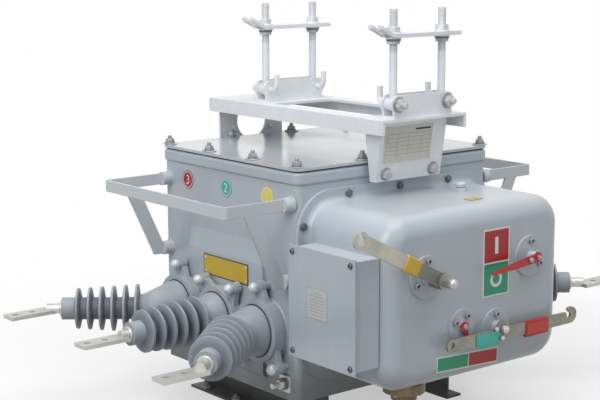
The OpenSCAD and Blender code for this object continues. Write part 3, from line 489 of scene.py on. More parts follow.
# which CAD nodes wear each finish, by the start of their names; the first that fits counts
tankPieces = ("tank_body", "terminal_box", "mechanism_housing")
shaftPieces = ("charging_plate", "lever_plate", "position_plate", "spring_plate")
nodeWear = {
    "tankPaint": tankPieces + shaftPieces,
    "lidPaint": ("tank_lid",),
    "gasket": ("lid_gasket",),
    "rail": ("support_rail",),
    "silicone": ("bushing_",),
    "tinned": ("terminal_",),
    "cast": ("clamp_",),
    "guardPaint": ("guard_rail",),
    "handleSteel": ("charging_handle",),
    "leverSteel": ("open_close_lever",),
    "pointerRed": ("position_pointer", "spring_pointer"),
    "bronze": ("cable_connector",),
    "boltZinc": ("earth_stud",),
    "threadedZinc": ("front_clamp_rods", "rear_clamp_rods"),
    "zinc": ("hanging_frame", "front_bracket", "rear_bracket", "front_clamp", "rear_clamp"),
}
for name, node in nodes.items():
    wear = next(key for key, starts in nodeWear.items() if name.startswith(starts))
    node.data.materials.clear()
    node.data.materials.append(finishes[wear])
print("CAD nodes dressed")

sharpAngle = 34  # edges that turn more than this are shaded sharp


def pick(look, *keys):
    return [look[key] for key in keys]


def meshOf(bm, name="shape", wears=()):
    mesh = bpy.data.meshes.new(name)
    bm.to_mesh(mesh)
    bm.free()
    for wear in wears:
        mesh.materials.append(finishes[wear])
    for face in mesh.polygons:
        face.use_smooth = True
    mesh.set_sharp_from_angle(angle=math.radians(sharpAngle))
    return mesh


def addPiece(name, bm, wears, body="breaker"):
    piece = bpy.data.objects.new(name, meshOf(bm, name, wears))
    scene.collection.objects.link(piece)
    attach(piece, body)


def standing(point, out, turn=0.0):  # a place in mm, its own Z pointing out
    axis = Vector(out).normalized()
    tilt = axis.to_track_quat("Z", "Y").to_matrix().to_4x4()
    return Matrix.Translation(Vector(point) * mm) @ tilt @ Matrix.Rotation(math.radians(turn), 4, "Z")


def onWalls(x, spots):  # places on both side walls from pairs of Y and Z
    return [standing((s * x, y, z), (s, 0, 0)) for y, z in spots for s in sides]


def onCircle(r, degrees):
    way = math.radians(degrees)
    return r * math.cos(way), r * math.sin(way)


def turned(bm, profile, steps=24, wear=0):  # spins radius and height pairs, in mm, round Z
    verts = [bm.verts.new((r * mm, 0, z * mm)) for r, z in profile]
    edges = [bm.edges.new(pair) for pair in zip(verts, verts[1:])]
    before = set(bm.faces)
    line, whole = verts + edges, 2 * math.pi
    bmesh.ops.spin(bm, geom=line, cent=(0, 0, 0), axis=upward, angle=whole, steps=steps, use_merge=True)
    bmesh.ops.remove_doubles(bm, verts=bm.verts, dist=1e-6)
    made = list(set(bm.faces) - before)
    bmesh.ops.recalc_face_normals(bm, faces=made)
    for face in made:
        face.material_index = wear


def closed(profile):  # back to its first point
    return profile + profile[:1]


def spun(profile, steps=24, wear=0):  # a turned mesh to stamp
    bm = bmesh.new()
    turned(bm, profile, steps, wear)
    return meshOf(bm)


def rounded(bm, edges, size, steps):
    shape = {"offset": size * mm, "segments": steps, "profile": 0.5}
    return bmesh.ops.bevel(bm, geom=edges, affect="EDGES", material=-1, **shape)


hair = 0.001  # play in mm when vertices are picked by their place


def prism(bm, corners, radius, low, high, chamfer):  # upright bar of few sides with a chamfered top
    r, tall = radius * mm, (high - low) * mm
    made = bmesh.ops.create_cone(bm, cap_ends=True, segments=corners, radius1=r, radius2=r, depth=tall)
    bmesh.ops.translate(bm, verts=made["verts"], vec=(0, 0, (low + high) / 2 * mm))
    edges = {e for v in made["verts"] for e in v.link_edges}
    rounded(bm, [e for e in edges if all(v.co.z > (high - hair) * mm for v in e.verts)], chamfer, 2)


def block(bm, low, high, soften=0.0, wear=0, steps=2):  # box between two corners in mm
    made = bmesh.ops.create_cube(bm, size=1.0)["verts"]
    bmesh.ops.scale(bm, verts=made, vec=[(b - a) * mm for a, b in zip(low, high)])
    bmesh.ops.translate(bm, verts=made, vec=[(a + b) / 2 * mm for a, b in zip(low, high)])
    if soften:
        made = rounded(bm, list({e for v in made for e in v.link_edges}), soften, steps)["verts"]
    for face in {f for v in made for f in v.link_faces}:
        face.material_index = wear


baseSoft, fieldSoft = 0.2, 0.1  # rounding of a sheet, and of a field printed on it


def sheet(bm, x, y, z, wear, soften=fieldSoft):  # thin box between three pairs of ends
    block(bm, *zip(x, y, z), soften, wear, 1)


def sheetSize(look):  # half its width and height, its border and its thickness
    return look["wide"] / 2, look["tall"] / 2, look["border"], look["thick"]


def framedSheet(bm, look):  # a coloured sheet on a slightly larger one
    w, h, b, t = sheetSize(look)
    sheet(bm, (-w, w), (-h, h), (0, t), 1, baseSoft)
    sheet(bm, (b - w, w - b), (b - h, h - b), (t / 2, t + look["field"]), 0)


def stamp(bm, shape, places):  # copies a small mesh to each place
    for place in places:
        copy = shape.copy()
        copy.transform(place)
        bm.from_mesh(copy)
        bpy.data.meshes.remove(copy)


def addCopies(name, shape, places, wears, body="breaker"):
    bm = bmesh.new()
    stamp(bm, shape, places)
    addPiece(name, bm, wears, body)


boltForm = {"washerSteps": 20, "studSteps": 14, "rim": (0.7, 0.5), "chamfer": 1.0, "sunk": 0.2, "point": 1.2}


def hexBolt(size):  # washer, six-sided head and any stud end
    bm = bmesh.new()
    r, flat = size["washer"], size["washerT"]
    top = flat + size["headH"]
    shoulder, rim = boltForm["rim"]
    washer = [(0, 0), (r, 0), (r, flat * shoulder), (r - rim, flat), (0, flat)]
    turned(bm, washer, boltForm["washerSteps"], 1)
    prism(bm, 6, size["head"], flat, top, boltForm["chamfer"])
    if "stud" in size:
        r, point = size["studR"], boltForm["point"]
        low, high = top - boltForm["sunk"], top + size["stud"]
        stud = [(0, low), (r, low), (r, high - point), (r - point, high), (0, high)]
        turned(bm, stud, boltForm["studSteps"])
    return meshOf(bm)


screwForm = {"steps": 20, "edge": 0.9, "deep": 0.4, "taper": 0.92}


def socketScrew(size):  # washer, and cheese head with a dark round socket
    bm = bmesh.new()
    washer, flat, r, hole = pick(size, "washer", "washerT", "head", "socket")
    edge, inner = screwForm["edge"], hole * screwForm["taper"]
    top, deep = flat + size["headH"], flat + size["headH"] * screwForm["deep"]
    turned(bm, [(0, 0), (washer, 0), (washer, flat), (0, flat)], screwForm["steps"])
    head = [(0, flat), (r, flat), (r, top - edge), (r - edge, top), (hole, top), (inner, deep), (0, deep)]
    turned(bm, head, screwForm["steps"])
    for face in bm.faces:
        inside = all(v.co.xy.length < (hole + hair) * mm for v in face.verts)
        if inside and face.calc_center_median().z > (deep - hair) * mm:
            face.material_index = 1
    return meshOf(bm)


# studs and square keepers round the lid
lidRing = {
    "x": 257, "front": -104, "back": 348, "z": 565, "side": (-102, 43, 197, 347),
    "across": (-87, 87), "keeper": (13, 11, 3), "round": 1.4, "twist": 17,
}
lidBolt = {"washer": 11, "washerT": 2.5, "head": 9.6, "headH": 7, "stud": 7, "studR": 4.6}


def addLidFixings(ring):
    spots = [(s * ring["x"], y, 0) for s in sides for y in ring["side"]]
    spots += [(x, y, 90) for x in ring["across"] for y in (ring["front"], ring["back"])]
    long, wide, thick = ring["keeper"]
    bm = bmesh.new()
    block(bm, (-wide, -long, 0), (wide, long, thick), ring["round"])
    places = [standing((x, y, ring["z"]), upward, turn) for x, y, turn in spots]
    addCopies("lid_keepers", meshOf(bm), places, ["lidPaint"])
    z = ring["z"] + thick
    places = [standing((x, y, z), upward, ring["twist"] * i) for i, (x, y, turn) in enumerate(spots)]
    addCopies("lid_studs", hexBolt(lidBolt), places, ["boltGrey", "boltDark"])


addLidFixings(lidRing)

# bolts through the housing's flange
flangeRow = {
    "y": -121.3, "x": (-140, 0, 140), "top": 505, "low": 136, "side": 258, "z": (190, 320, 450),
    "twist": 11,
}
flangeBolt = {"washer": 9.2, "washerT": 1.6, "head": 7.6, "headH": 5.6}


def addFlangeBolts(row):
    spots = [(x, z) for x in row["x"] for z in (row["top"], row["low"])]
    spots += [(s * row["side"], z) for s in sides for z in row["z"]]
    places = [standing((x, row["y"], z), toFront, row["twist"] * i) for i, (x, z) in enumerate(spots)]
    addCopies("flange_bolts", hexBolt(flangeBolt), places, ["boltDark", "boltGrey"])


addFlangeBolts(flangeRow)
print("lid and flange bolted")

signForm = {"smooth": 6, "extrude": 0.01, "half": 0.2}


def lettering(sign, tall, wear):  # a plain number as a thin mesh, centred, in mm
    curve = bpy.data.curves.new("sign", "FONT")
    curve.body, curve.size, curve.extrude = sign, 1.0, signForm["extrude"]
    curve.resolution_u = signForm["smooth"]
    holder = bpy.data.objects.new("sign", curve)
    mesh = bpy.data.meshes.new_from_object(holder)
    bpy.data.objects.remove(holder)
    low = Vector([min(v.co[i] for v in mesh.vertices) for i in range(3)])
    high = Vector([max(v.co[i] for v in mesh.vertices) for i in range(3)])
    grow = tall * mm / (high.y - low.y)
    thick = signForm["half"] * mm / signForm["extrude"]
    mesh.transform(Matrix.Diagonal((grow, grow, thick, 1)) @ Matrix.Translation(-(low + high) / 2))
    for face in mesh.polygons:
        face.material_index = wear
    return mesh


# numbered phase discs under the lip of both side walls
phaseDiscs = {
    "x": 266,
    "z": 497,
    "r": 20,
    "ring": (16.2, 18.0),
    "thick": 1.0,
    "edge": 0.3,
    "steps": 40,
    "tall": 20,
    "rise": 0.1,
    "front": {"y": -17, "wear": "markLemon", "sign": "1"},
    "middle": {"y": 125, "wear": "markTeal", "sign": "2"},
    "rear": {"y": 265, "wear": "markRed", "sign": "3"},
}


def addPhaseDiscs(look):
    r, t, edge, steps = pick(look, "r", "thick", "edge", "steps")
    inner, outer = look["ring"]
    for key in ("front", "middle", "rear"):
        one = look[key]
        bm = bmesh.new()
        turned(bm, [(0, t), (inner, t)], steps)
        turned(bm, [(inner, t), (outer, t)], steps, 1)
        turned(bm, [(outer, t), (r - edge, t), (r, t - edge), (r, 0), (0, 0)], steps)
        bmesh.ops.recalc_face_normals(bm, faces=bm.faces)
        sign = lettering(one["sign"], look["tall"], 1)
        stamp(bm, sign, [Matrix.Translation((0, 0, (t + look["rise"]) * mm))])
        places = onWalls(look["x"], [(one["y"], look["z"])])
        addCopies("phase_discs_" + key, meshOf(bm), places, [one["wear"], "markWhite"])


addPhaseDiscs(phaseDiscs)

rivetSteps = 12


def addRivets(bm, profile, x, y, z, wear):  # one at each corner
    places = [Matrix.Translation((sx * x * mm, sy * y * mm, z * mm)) for sx in sides for sy in sides]
    stamp(bm, spun(profile, rivetSteps, wear), places)


# bare yellow plaque on the raised panel of both side walls
plaque = {
    "x": 275, "spot": (117, 325), "wide": 159, "tall": 45, "border": 2.4, "thick": 1.2,
    "field": 0.25, "rivet": [(0, 0), (2.6, 0), (2.34, 0.7), (1.3, 1.1), (0, 1.2)], "rivetIn": 8,
    "rivetRise": 0.2,
}


def addPlaques(look):
    bm = bmesh.new()
    framedSheet(bm, look)
    x, y = look["wide"] / 2 - look["rivetIn"], look["tall"] / 2 - look["rivetIn"]
    addRivets(bm, look["rivet"], x, y, look["thick"] + look["rivetRise"], 2)
    places = onWalls(look["x"], [look["spot"]])
    wears = ["markYellow", "markBlack", "boltZinc"]
    addCopies("side_plaques", meshOf(bm), places, wears)


addPlaques(plaque)

# position sticker, red over green, with an I and an O on it
positionSheet = {
    "place": (47, -355.3, 375), "wide": 75, "tall": 137, "border": 3.2, "thick": 0.5, "field": 0.2,
    "mark": 0.4, "bar": (9, 34), "ring": (10, 16.5), "steps": 40,
}


def addPositionSheet(look):
    bm = bmesh.new()
    w, h, b, t = sheetSize(look)
    field, top = (t / 2, t + look["field"]), t + look["mark"]
    sheet(bm, (-w, w), (-h, h), (0, t), 2, baseSoft)
    sheet(bm, (b - w, w - b), (b / 2, h - b), field, 0)
    sheet(bm, (b - w, w - b), (b - h, -b / 2), field, 1)
    wide, tall = look["bar"]
    sheet(bm, (-wide / 2, wide / 2), (h / 2 - tall / 2, h / 2 + tall / 2), (t, top), 2)
    low, high = look["ring"]
    ring = spun(closed([(low, t), (low, top), (high, top), (high, t)]), look["steps"], 2)
    stamp(bm, ring, [Matrix.Translation((0, -h / 2 * mm, 0))])
    bm.transform(standing(look["place"], toFront))
    addPiece("position_sheet", bm, ["markRed", "markGreen", "markWhite"])


addPositionSheet(positionSheet)

# two-coloured sheet under the spring pointer
springSheet = {
    "place": (-29, -355.3, 188), "wide": 171, "tall": 31, "split": 0.02, "border": 2.6,
    "thick": 0.5, "field": 0.2, "lean": 2.6,
}


def addSpringSheet(look):
    bm = bmesh.new()
    w, h, b, t = sheetSize(look)
    cut, field = look["split"] * w, (t / 2, t + look["field"])
    sheet(bm, (-w, w), (-h, h), (0, t), 2, baseSoft)
    sheet(bm, (b - w, cut - b / 2), (b - h, h - b), field, 1)
    sheet(bm, (cut + b / 2, w - b), (b - h, h - b), field, 0)
    bm.transform(standing(look["place"], toFront, -look["lean"]))
    addPiece("spring_sheet", bm, ["markRed", "markGreen", "markWhite"])


addSpringSheet(springSheet)

# bare rating plate on the leaning front bracket, ruled into empty boxes
ratingPlate = {
    "x": -13,
    "z": 599,
    "foot": (-148.3, 523),  # Y and Z of the bracket's face
    "head": (-168.3, 649),
    "wide": 132,
    "tall": 76,
    "thick": 0.9,
    "round": 0.3,
    "rows": 6,
    "ruled": (-30, 22),
    "columns": (-60, -29.7, 0, 36.3, 60),
    "title": ((16.5, 58), (27, 31)),
    "rule": 0.9,
    "rise": 0.15,
    "rivet": [(0, 0), (2.4, 0), (2.1, 0.8), (1.2, 1.2), (0, 1.3)],
    "rivetIn": 3.5,
}


def onBracket(look, x, z):  # a place on the leaning face of the bracket
    (y0, z0), (y1, z1) = look["foot"], look["head"]
    slope = (y1 - y0) / (z1 - z0)
    return standing((x, y0 + slope * (z - z0), z), (0, -1, slope))


def addRatingPlate(look):
    bm = bmesh.new()
    w, h, t, half = look["wide"] / 2, look["tall"] / 2, look["thick"], look["rule"] / 2
    low, top = look["ruled"]
    ends, ink = (look["columns"][0], look["columns"][-1]), (t / 2, t + look["rise"])
    sheet(bm, (-w, w), (-h, h), (0, t), 0, look["round"])
    for i in range(look["rows"]):
        y = top - i * (top - low) / look["rows"]
        sheet(bm, ends, (y - half, y + half), ink, 1, 0)
    for x in look["columns"]:
        sheet(bm, (x - half, x + half), (low, top), ink, 1, 0)
    sheet(bm, *look["title"], ink, 2, 0)
    addRivets(bm, look["rivet"], w - look["rivetIn"], h - look["rivetIn"], t, 3)
    bm.transform(onBracket(look, look["x"], look["z"]))
    addPiece("rating_plate", bm, ["plateBeige", "plateRule", "markBlack", "boltZinc"])


addRatingPlate(ratingPlate)

# hexagon bolts of the two brackets, and nuts on both faces of the rear one
bracketFixings = {
    "x": 65.5, "z": 539, "rear": 392.7, "rearIn": 387.7, "rearX": (-50, 50), "rearZ": 577,
    "turns": (20, 9, 31),
}
bracketBolt = {"washer": 13.5, "washerT": 2.4, "head": 11.4, "headH": 7.6}
rearNut = {"washer": 7.5, "washerT": 1.4, "head": 6.2, "headH": 4.5, "stud": 3, "studR": 3}


def addBracketBolts(look):
    boltTurn, inTurn, outTurn = look["turns"]
    places = [onBracket(ratingPlate, s * look["x"], look["z"]) for s in sides]
    places += [standing((s * look["x"], look["rear"], look["z"]), toRear, boltTurn) for s in sides]
    addCopies("bracket_bolts", hexBolt(bracketBolt), places, ["boltZinc", "boltGrey"])
    places = [standing((x, look["rearIn"], look["rearZ"]), toFront, inTurn) for x in look["rearX"]]
    places += [standing((x, look["rear"], look["rearZ"]), toRear, outTurn) for x in look["rearX"]]
    addCopies("rear_bracket_nuts", hexBolt(rearNut), places, ["boltZinc", "zinc"])


addBracketBolts(bracketFixings)
print("plates, sheets and brackets done")

# screws of the shaft plates: pivot's X and Z, circle radius and angles
shaftPlates = {
    "y": -360.3,
    "charging": (-147, 373.5, 31, (88, 205, 322)),
    "lever": (46, 243.5, 27, (94, 214, 334)),
    "position": (142, 375.5, 31, (90, 205, 325)),
    "spring": (-50, 261.5, 22.5, (60, 155)),
}
plateScrew = {"head": 6.2, "headH": 5.2, "socket": 3.3, "washer": 8.2, "washerT": 1.1}


def addPlateScrews(look):
    places = []
    for x, z, r, angles in (look[k] for k in ("charging", "lever", "position", "spring")):
        for angle in angles:
            across, up = onCircle(r, angle)
            places.append(standing((x + across, look["y"], z + up), toFront, angle))
    addCopies("plate_screws", socketScrew(plateScrew), places, ["boltGrey", "boltDark"])


addPlateScrews(shaftPlates)

tagForm = {"in": (4, 5), "steps": 3}


def tagOn(x, y, z, soften, field):  # a tag round a bar, with a raised field on its front
    bm = bmesh.new()
    block(bm, *zip(x, y, z), soften, 0, tagForm["steps"])
    (inX, inZ), (rise, sunk) = tagForm["in"], field
    inside = (y[0] - rise, y[0] + sunk)
    sheet(bm, (x[0] + inX, x[1] - inX), inside, (z[0] + inZ, z[1] - inZ), 1, baseSoft)
    return bm


# tag slid on the charging handle, and the bright end of its shaft
handleTag = {
    "pivot": (-147, 373.5), "angle": 27, "far": 92, "x": (-20, 20), "y": (-408.6, -399.2),
    "z": (-16, 16), "round": 2.2, "field": (0.3, 1.0),
}
shaftEnd = {"y": -431.7, "r": 10, "dome": 8.0, "skirt": (0.15, 7), "arc": (0.35, 0.75, 1.15), "steps": 28}


def addHandleTrim(tag, end):
    bm = tagOn(tag["x"], tag["y"], tag["z"], tag["round"], tag["field"])
    x, z = tag["pivot"]
    across, up = onCircle(tag["far"], tag["angle"])
    spot = Matrix.Translation(((x - across) * mm, 0, (z + up) * mm))
    bm.transform(spot @ Matrix.Rotation(math.radians(tag["angle"]), 4, "Y"))
    addPiece("handle_tag", bm, ["markOrange", "markYellow"], "charging_handle")
    r, h = end["r"], end["dome"]
    over, down = end["skirt"]
    dome = [(r * math.cos(a), h * math.sin(a)) for a in end["arc"]]
    bm = bmesh.new()
    turned(bm, [(0, -down), (r + over, -down), (r + over, 0), *dome, (0, h)], end["steps"])
    bm.transform(standing((x, end["y"], z), toFront))
    addPiece("shaft_end", bm, ["shaftBright"], "charging_handle")


addHandleTrim(handleTag, shaftEnd)

# coloured sleeves and pivot bolts of the open and close lever
leverTrim = {
    "tag": {"x": (-32, 31), "y": (-383.2, -380.7), "z": (215, 243), "round": 1.0},
    "sleeve": {"x": (110, 178), "y": (-383.4, -372.6), "z": (214, 247), "round": 2.4},
    "field": (0.25, 0.8),
    "face": -380.7,
    "pivot": (46, 243.5),
    "turn": 12,
    "screws": ((23, 247), (40, 226)),
}
pivotNut = {"washer": 11, "washerT": 1.8, "head": 8.6, "headH": 6.5, "stud": 3.5, "studR": 4.5}
smallNut = {"washer": 6.6, "washerT": 1.2, "head": 5.4, "headH": 4.2, "stud": 2.5, "studR": 2.6}


def addLeverTrim(look):
    for key, wear in (("tag", "markTeal"), ("sleeve", "markRed")):
        one = look[key]
        bm = tagOn(one["x"], one["y"], one["z"], one["round"], look["field"])
        addPiece("lever_" + key, bm, [wear, wear + "Pale"], "open_close_lever")
    bm = bmesh.new()
    x, z = look["pivot"]
    stamp(bm, hexBolt(pivotNut), [standing((x, look["face"], z), toFront, look["turn"])])
    places = [standing((x, look["face"], z), toFront, x) for x, z in look["screws"]]
    stamp(bm, hexBolt(smallNut), places)
    addPiece("lever_nuts", bm, ["boltZinc", "boltDark"], "open_close_lever")


addLeverTrim(leverTrim)

# screws on the hubs of the two pointers; the lever sweeps past the low one
lowNut = {"washer": 7.4, "washerT": 0.8, "head": 5.8, "headH": 2.6}
pointerHubs = {
    "position_pointer": {"spots": ((142, 375.5), (119, 373.5)), "y": -381.7, "nut": smallNut, "twist": 25},
    "spring_pointer": {"spots": ((-50, 261.5),), "y": -367.7, "nut": lowNut, "twist": 25},
}


def addPointerScrews(look):
    for body, one in look.items():
        spots = enumerate(one["spots"])
        places = [standing((x, one["y"], z), toFront, one["twist"] * i) for i, (x, z) in spots]
        wears = ["boltGrey", "pointerRed"]
        addCopies(body + "_screws", hexBolt(one["nut"]), places, wears, body)


addPointerScrews(pointerHubs)
print("levers and pointers trimmed")

# pale ball caps on the clamp posts, by row and angle, and the dark joint round each barrel
clampTrim = {
    "x": 304, "mid": (122.2, 224),
    "rows": {-141.5: (90, 230, 310), 0: (52, 128, 270), 141.5: (90, 230, 310)}, "circle": 90,
    "ball": 11.5, "neck": (0.75, 9), "arc": (-0.72, -0.45, -0.15, 0.15, 0.45, 0.75, 1.05, 1.3),
}
barrelJoint = {"x": 302, "r": 53.1, "wide": 2.4, "high": 1.8, "steps": 56}


def addClampTrim(look, joint):
    r = look["ball"]
    thin, down = look["neck"]
    ball = [(r * math.cos(a), r * math.sin(a)) for a in look["arc"]]
    cap = spun([(0, -down), (r * thin, -down), (r * thin, ball[0][1]), *ball, (0, r)])
    y, z = look["mid"]
    spots = []
    for row, angles in look["rows"].items():
        for angle in angles:
            along, up = onCircle(look["circle"], angle)
            spots.append((y + row + along, z + up))
    addCopies("post_caps", cap, onWalls(look["x"], spots), ["capAlloy"])
    r, w, h = pick(joint, "r", "wide", "high")
    lip = [(r, -1), (r + w, -1), (r + w, 0.2), (r + w * 0.7, h), (r + 0.1, h * 0.8)]
    ring = spun(closed(lip), joint["steps"])
    places = onWalls(joint["x"], [(y + row, z) for row in look["rows"]])
    addCopies("barrel_joints", ring, places, ["gasket"])


addClampTrim(clampTrim, barrelJoint)

# tinned collars where the studs leave the bushings
studCollar = {
    "mid": (122.2, 224), "bend": (353.5, 141.5), "fan": 38.3, "outer": 205.5, "middle": 515,
    "r": 16.5, "bore": 11.1, "high": 4.5, "low": -1, "edge": (1.6, 0.6), "steps": 32,
}


def addStudCollars(look):
    r, bore, low, h = pick(look, "r", "bore", "low", "high")
    edge, shoulder = look["edge"]
    collar = [(bore, low), (r, low), (r, h * shoulder), (r - edge, h), (bore, h)]
    y, z = look["mid"]
    x, pitch = look["bend"]
    away, along = onCircle(1, look["fan"])
    places = onWalls(look["middle"], [(y, z)])
    for s in sides:
        for row in sides:
            end = (s * (x + look["outer"] * away), y + row * (pitch + look["outer"] * along), z)
            places.append(standing(end, (s * away, row * along, 0)))
    addCopies("stud_collars", spun(closed(collar), look["steps"]), places, ["tinned"])


addStudCollars(studCollar)

# washers above and under the hanger bars
hangerTrim = {
    "x": 67, "y": (-172.8, 244.2), "top": 824, "low": 816, "r": 16.5, "bore": 8.1, "thick": 2.6,
    "edge": 0.5, "spring": (14.8, 4.2), "steps": 28,
}


def addHangerTrim(look):
    spots = [(s * look["x"], y) for s in sides for y in look["y"]]
    r, t, bore, edge = pick(look, "r", "thick", "bore", "edge")
    flat = closed([(bore, 0), (r, 0), (r, t - edge), (r - edge, t), (bore, t)])
    places = [standing((x, y, look["top"]), upward) for x, y in spots]
    places += [standing((x, y, look["low"]), downward) for x, y in spots]
    addCopies("hanger_washers", spun(flat, look["steps"]), places, ["zinc"])
    places = [standing((x, y, look["low"] - t), downward) for x, y in spots]
    r, t = look["spring"]
    coil = closed([(bore, 0), (r, 0), (r, t), (bore, t)])
    addCopies("hanger_spring_washers", spun(coil, look["steps"]), places, ["boltDark"])


addHangerTrim(hangerTrim)

# nuts and wide washers on the outer ends of the hook pins: Y, turn and how the turn differs by side
pinEnds = {"x": 67, "z": 683, "front": (-190.8, 14, 20), "rear": (262.2, 8, -11)}
pinNut = {"washer": 16, "washerT": 2.4, "head": 12.6, "headH": 9.4, "stud": 11, "studR": 6.4}


def addPinNuts(look):
    places = []
    for key, out in (("front", toFront), ("rear", toRear)):
        y, turn, step = look[key]
        places += [standing((s * look["x"], y, look["z"]), out, turn + step * s) for s in sides]
    addCopies("pin_nuts", hexBolt(pinNut), places, ["boltZinc", "boltGrey"])


addPinNuts(pinEnds)
print("clamps and hangers trimmed")

# terminal box: corner screws, seal under the cover and a bare ruled label
boxTrim = {
    "x": -310, "y": (-338.3, -140.3), "z": (202, 426), "in": 13, "seal": (-307.4, -306.2),
    "sealIn": 4.4, "sealRound": 0.3,
}
boxLabel = {
    "y": -228,
    "z": 321,
    "wide": 61,
    "tall": 60,
    "border": 1.5,
    "thick": 0.5,
    "field": 0.25,
    "first": 9,
    "pitch": 6.2,
    "rule": (1.7, 0.45, 0.05),  # height, rise and rounding
    "rules": (26, 46, 46, 46, 46, 46, 46, 32),
}
coverScrew = {"head": 5.0, "headH": 3.2, "socket": 2.4, "washer": 6.4, "washerT": 0.9}


def addBoxTrim(look, label):
    (y0, y1), (z0, z1), gap, rim = pick(look, "y", "z", "in", "sealIn")
    spots = [(y, z) for y in (y0 + gap, y1 - gap) for z in (z0 + gap, z1 - gap)]
    places = [standing((look["x"], y, z), toLeft) for y, z in spots]
    addCopies("cover_screws", socketScrew(coverScrew), places, ["boltDark", "markBlack"])
    bm = bmesh.new()
    sheet(bm, look["seal"], (y0 + rim, y1 - rim), (z0 + rim, z1 - rim), 0, look["sealRound"])
    addPiece("cover_seal", bm, ["gasket"])
    bm = bmesh.new()
    framedSheet(bm, label)
    thick, (tall, rise, soften) = label["thick"], label["rule"]
    for k, wide in enumerate(label["rules"]):
        low = label["tall"] / 2 - label["first"] - label["pitch"] * k
        sheet(bm, (-wide / 2, wide / 2), (low, low + tall), (thick, thick + rise), 1, soften)
    bm.transform(standing((look["x"], label["y"], label["z"]), toLeft))
    addPiece("box_label", bm, ["labelPale", "plateRule"])


addBoxTrim(boxTrim, boxLabel)

# nut and washer of the earth stud
earthTrim = {"place": (-276, -77.3, 120), "turn": 8}
earthNut = {"washer": 13, "washerT": 2.4, "head": 10.6, "headH": 8.5}


def addEarthTrim(look):
    places = [standing(look["place"], toLeft, look["turn"])]
    addCopies("earth_nut", hexBolt(earthNut), places, ["boltZinc", "bronze"])


addEarthTrim(earthTrim)

# breather plug and a small bare sticker on top of the housing
breather = {
    "place": (101, -200, 492),
    "hex": (12, 7, 1.0),  # radius, height and chamfer
    "stem": [(0, 6.8), (8, 6.8), (8, 9)],
    "cap": [(11, 9.6), (11.5, 11), (11.5, 16), (9.5, 18.5), (5, 19.8), (0, 20)],
}
housingSheet = {
    "place": (52, -284, 492), "turn": 6, "wide": 36, "tall": 22, "border": 1.6, "thick": 0.5,
    "field": 0.25,
}


def addHousingTop(plug, sticker):
    r, high, chamfer = plug["hex"]
    bm = bmesh.new()
    prism(bm, 6, r, 0, high, chamfer)
    turned(bm, plug["stem"] + plug["cap"])
    bm.transform(standing(plug["place"], upward))
    addPiece("breather", bm, ["guardPaint"])
    bm = bmesh.new()
    framedSheet(bm, sticker)
    bm.transform(standing(sticker["place"], upward, sticker["turn"]))
    addPiece("housing_sheet", bm, ["markYellow", "markBlack"])


addHousingTop(breather, housingSheet)

# weld beads round the guard bosses and the turrets
beads = {
    "boss": {"x": 266, "r": 15, "y": (-93.8, 338.2), "z": (492, 336), "steps": 32},
    "turret": {"x": 266, "r": 62, "y": (-19.3, 122.2, 263.7), "z": (224,), "steps": 64},
    "fat": 3.2,
    "sunk": 0.5,
    "curve": ((1, 0), (0.75, 0.5), (0.3, 0.85)),
}


def addBeads(look):
    bm = bmesh.new()
    fat = look["fat"]
    for one in (look["boss"], look["turret"]):
        r, inner = one["r"], one["r"] - look["sunk"]
        curve = [(r + fat * out, fat * up) for out, up in look["curve"]]
        bead = spun(closed([(inner, 0), *curve, (inner, fat)]), one["steps"])
        stamp(bm, bead, onWalls(one["x"], [(y, z) for y in one["y"] for z in one["z"]]))
    addPiece("weld_beads", bm, ["tankPaint"])


addBeads(beads)

# bolts in the feet of the rails and screws under the cable connector
footBolts = {"x": 197, "y": (-55, 55, 190, 300), "z": 5}
footBolt = {"washer": 12, "washerT": 2.2, "head": 9.4, "headH": 6.5, "stud": 3, "studR": 5}
glandScrews = {"x": -135, "y": -285.3, "z": 129, "r": 34, "angles": (20, 110, 200, 290)}


def addLowFixings(feet, gland):
    spots = [(s * feet["x"], y) for s in sides for y in feet["y"]]
    places = [standing((x, y, feet["z"]), upward, y) for x, y in spots]  # y serves as a turn, too
    addCopies("foot_bolts", hexBolt(footBolt), places, ["boltDark", "boltGrey"])
    places = []
    for angle in gland["angles"]:
        x, y = onCircle(gland["r"], angle)
        places.append(standing((gland["x"] + x, gland["y"] + y, gland["z"]), downward, angle))
    addCopies("connector_screws", socketScrew(coverScrew), places, ["boltGrey", "boltDark"])


addLowFixings(footBolts, glandScrews)
print("tank and housing trimmed")

# studio: pale floor, one soft lamp from the left, one from above and a weak one in front
studio = {
    "white": (1.0, 1.0, 1.0),
    "ambient": 0.41,
    "size": 40,
    "floor": 0.93,  # as the camera sees it
    "bounce": 0.28,  # as the object is lit by it
    "rough": 0.9,
    "centre": (0, 0.05, 0),
    "near": 0.75,
    "far": 1.5,
    "least": 0.5,
}
lamps = {
    "leftLamp": {"place": (-3.4, -1.0, 3.0), "aim": (0, 0, 0.35), "size": 2.6, "power": 92},
    "topLamp": {"place": (-0.3, -0.9, 3.9), "aim": (0, 0.0, 0.4), "size": 3.0, "power": 76},
    "frontLamp": {"place": (0.6, -4.2, 2.2), "aim": (0, 0, 0.4), "size": 2.4, "power": 14},
}
seenKinds = ("Is Camera Ray", "Is Glossy Ray", "Is Transmission Ray")


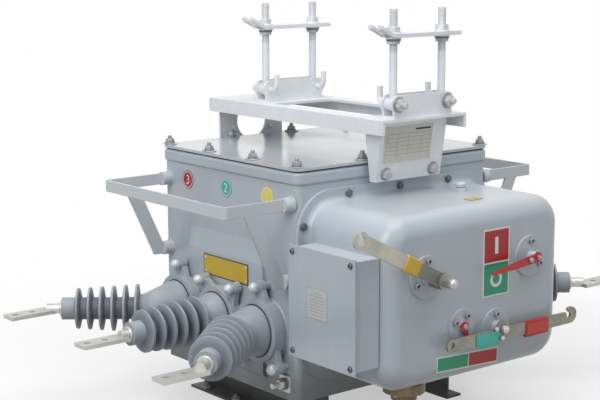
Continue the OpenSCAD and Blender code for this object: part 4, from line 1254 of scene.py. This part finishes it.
def seenRays(board):  # 1 for what the camera, a mirror or glass looks at
    path = board.node("LightPath").socket.node
    camera, mirror, glass = (Wire(board, path.outputs[kind]) for kind in seenKinds)
    return board.math("MINIMUM", camera + mirror + glass, 1.0)


def addSky(look):
    world = bpy.data.worlds.new("studio")
    world.use_nodes = True
    scene.world = world
    sky = Board(world.node_tree)
    back = world.node_tree.nodes["Background"]
    sky.feed(back.inputs["Color"], look["white"])
    sky.feed(back.inputs["Strength"], look["ambient"] + (1 - look["ambient"]) * seenRays(sky))


def addFloor(look):
    bm = bmesh.new()
    bmesh.ops.create_grid(bm, x_segments=8, y_segments=8, size=look["size"])
    mesh = bpy.data.meshes.new("floor")
    bm.to_mesh(mesh)
    bm.free()
    floor = bpy.data.objects.new("floor", mesh)
    scene.collection.objects.link(floor)
    f = Finish("floorPaper")
    seen = seenRays(f)
    shade = look["bounce"] + (look["floor"] - look["bounce"]) * seen
    f.give(colour=f.node("CombineColor", {}, {0: shade, 1: shade, 2: shade}), rough=look["rough"])
    far = f.node("VectorMath", {"operation": "DISTANCE"}, {0: f.place, 1: look["centre"]}, "Value")
    glow = f.node("Emission", {}, {"Color": look["white"], "Strength": 1.0})
    share = (look["least"] + (1 - look["least"]) * f.ease(far, look["near"], look["far"])) * seen
    paper = f.node("MixShader", {}, {0: share, 1: Wire(f, f.shader.outputs[0]), 2: glow})
    f.feed(f.tree.nodes["Material Output"].inputs["Surface"], paper)
    mesh.materials.append(f.material)


def addLamps(lampSet):
    for name, lamp in lampSet.items():
        data = bpy.data.lights.new(name, "AREA")
        data.size, data.energy = lamp["size"], lamp["power"]
        light = bpy.data.objects.new(name, data)
        way = Vector(lamp["aim"]) - Vector(lamp["place"])
        turn = way.to_track_quat("-Z", "Y").to_matrix().to_4x4()
        light.matrix_world = Matrix.Translation(lamp["place"]) @ turn
        scene.collection.objects.link(light)


addSky(studio)
addFloor(studio)
addLamps(lamps)
scene.view_settings.view_transform = "Standard"
print("studio lit")
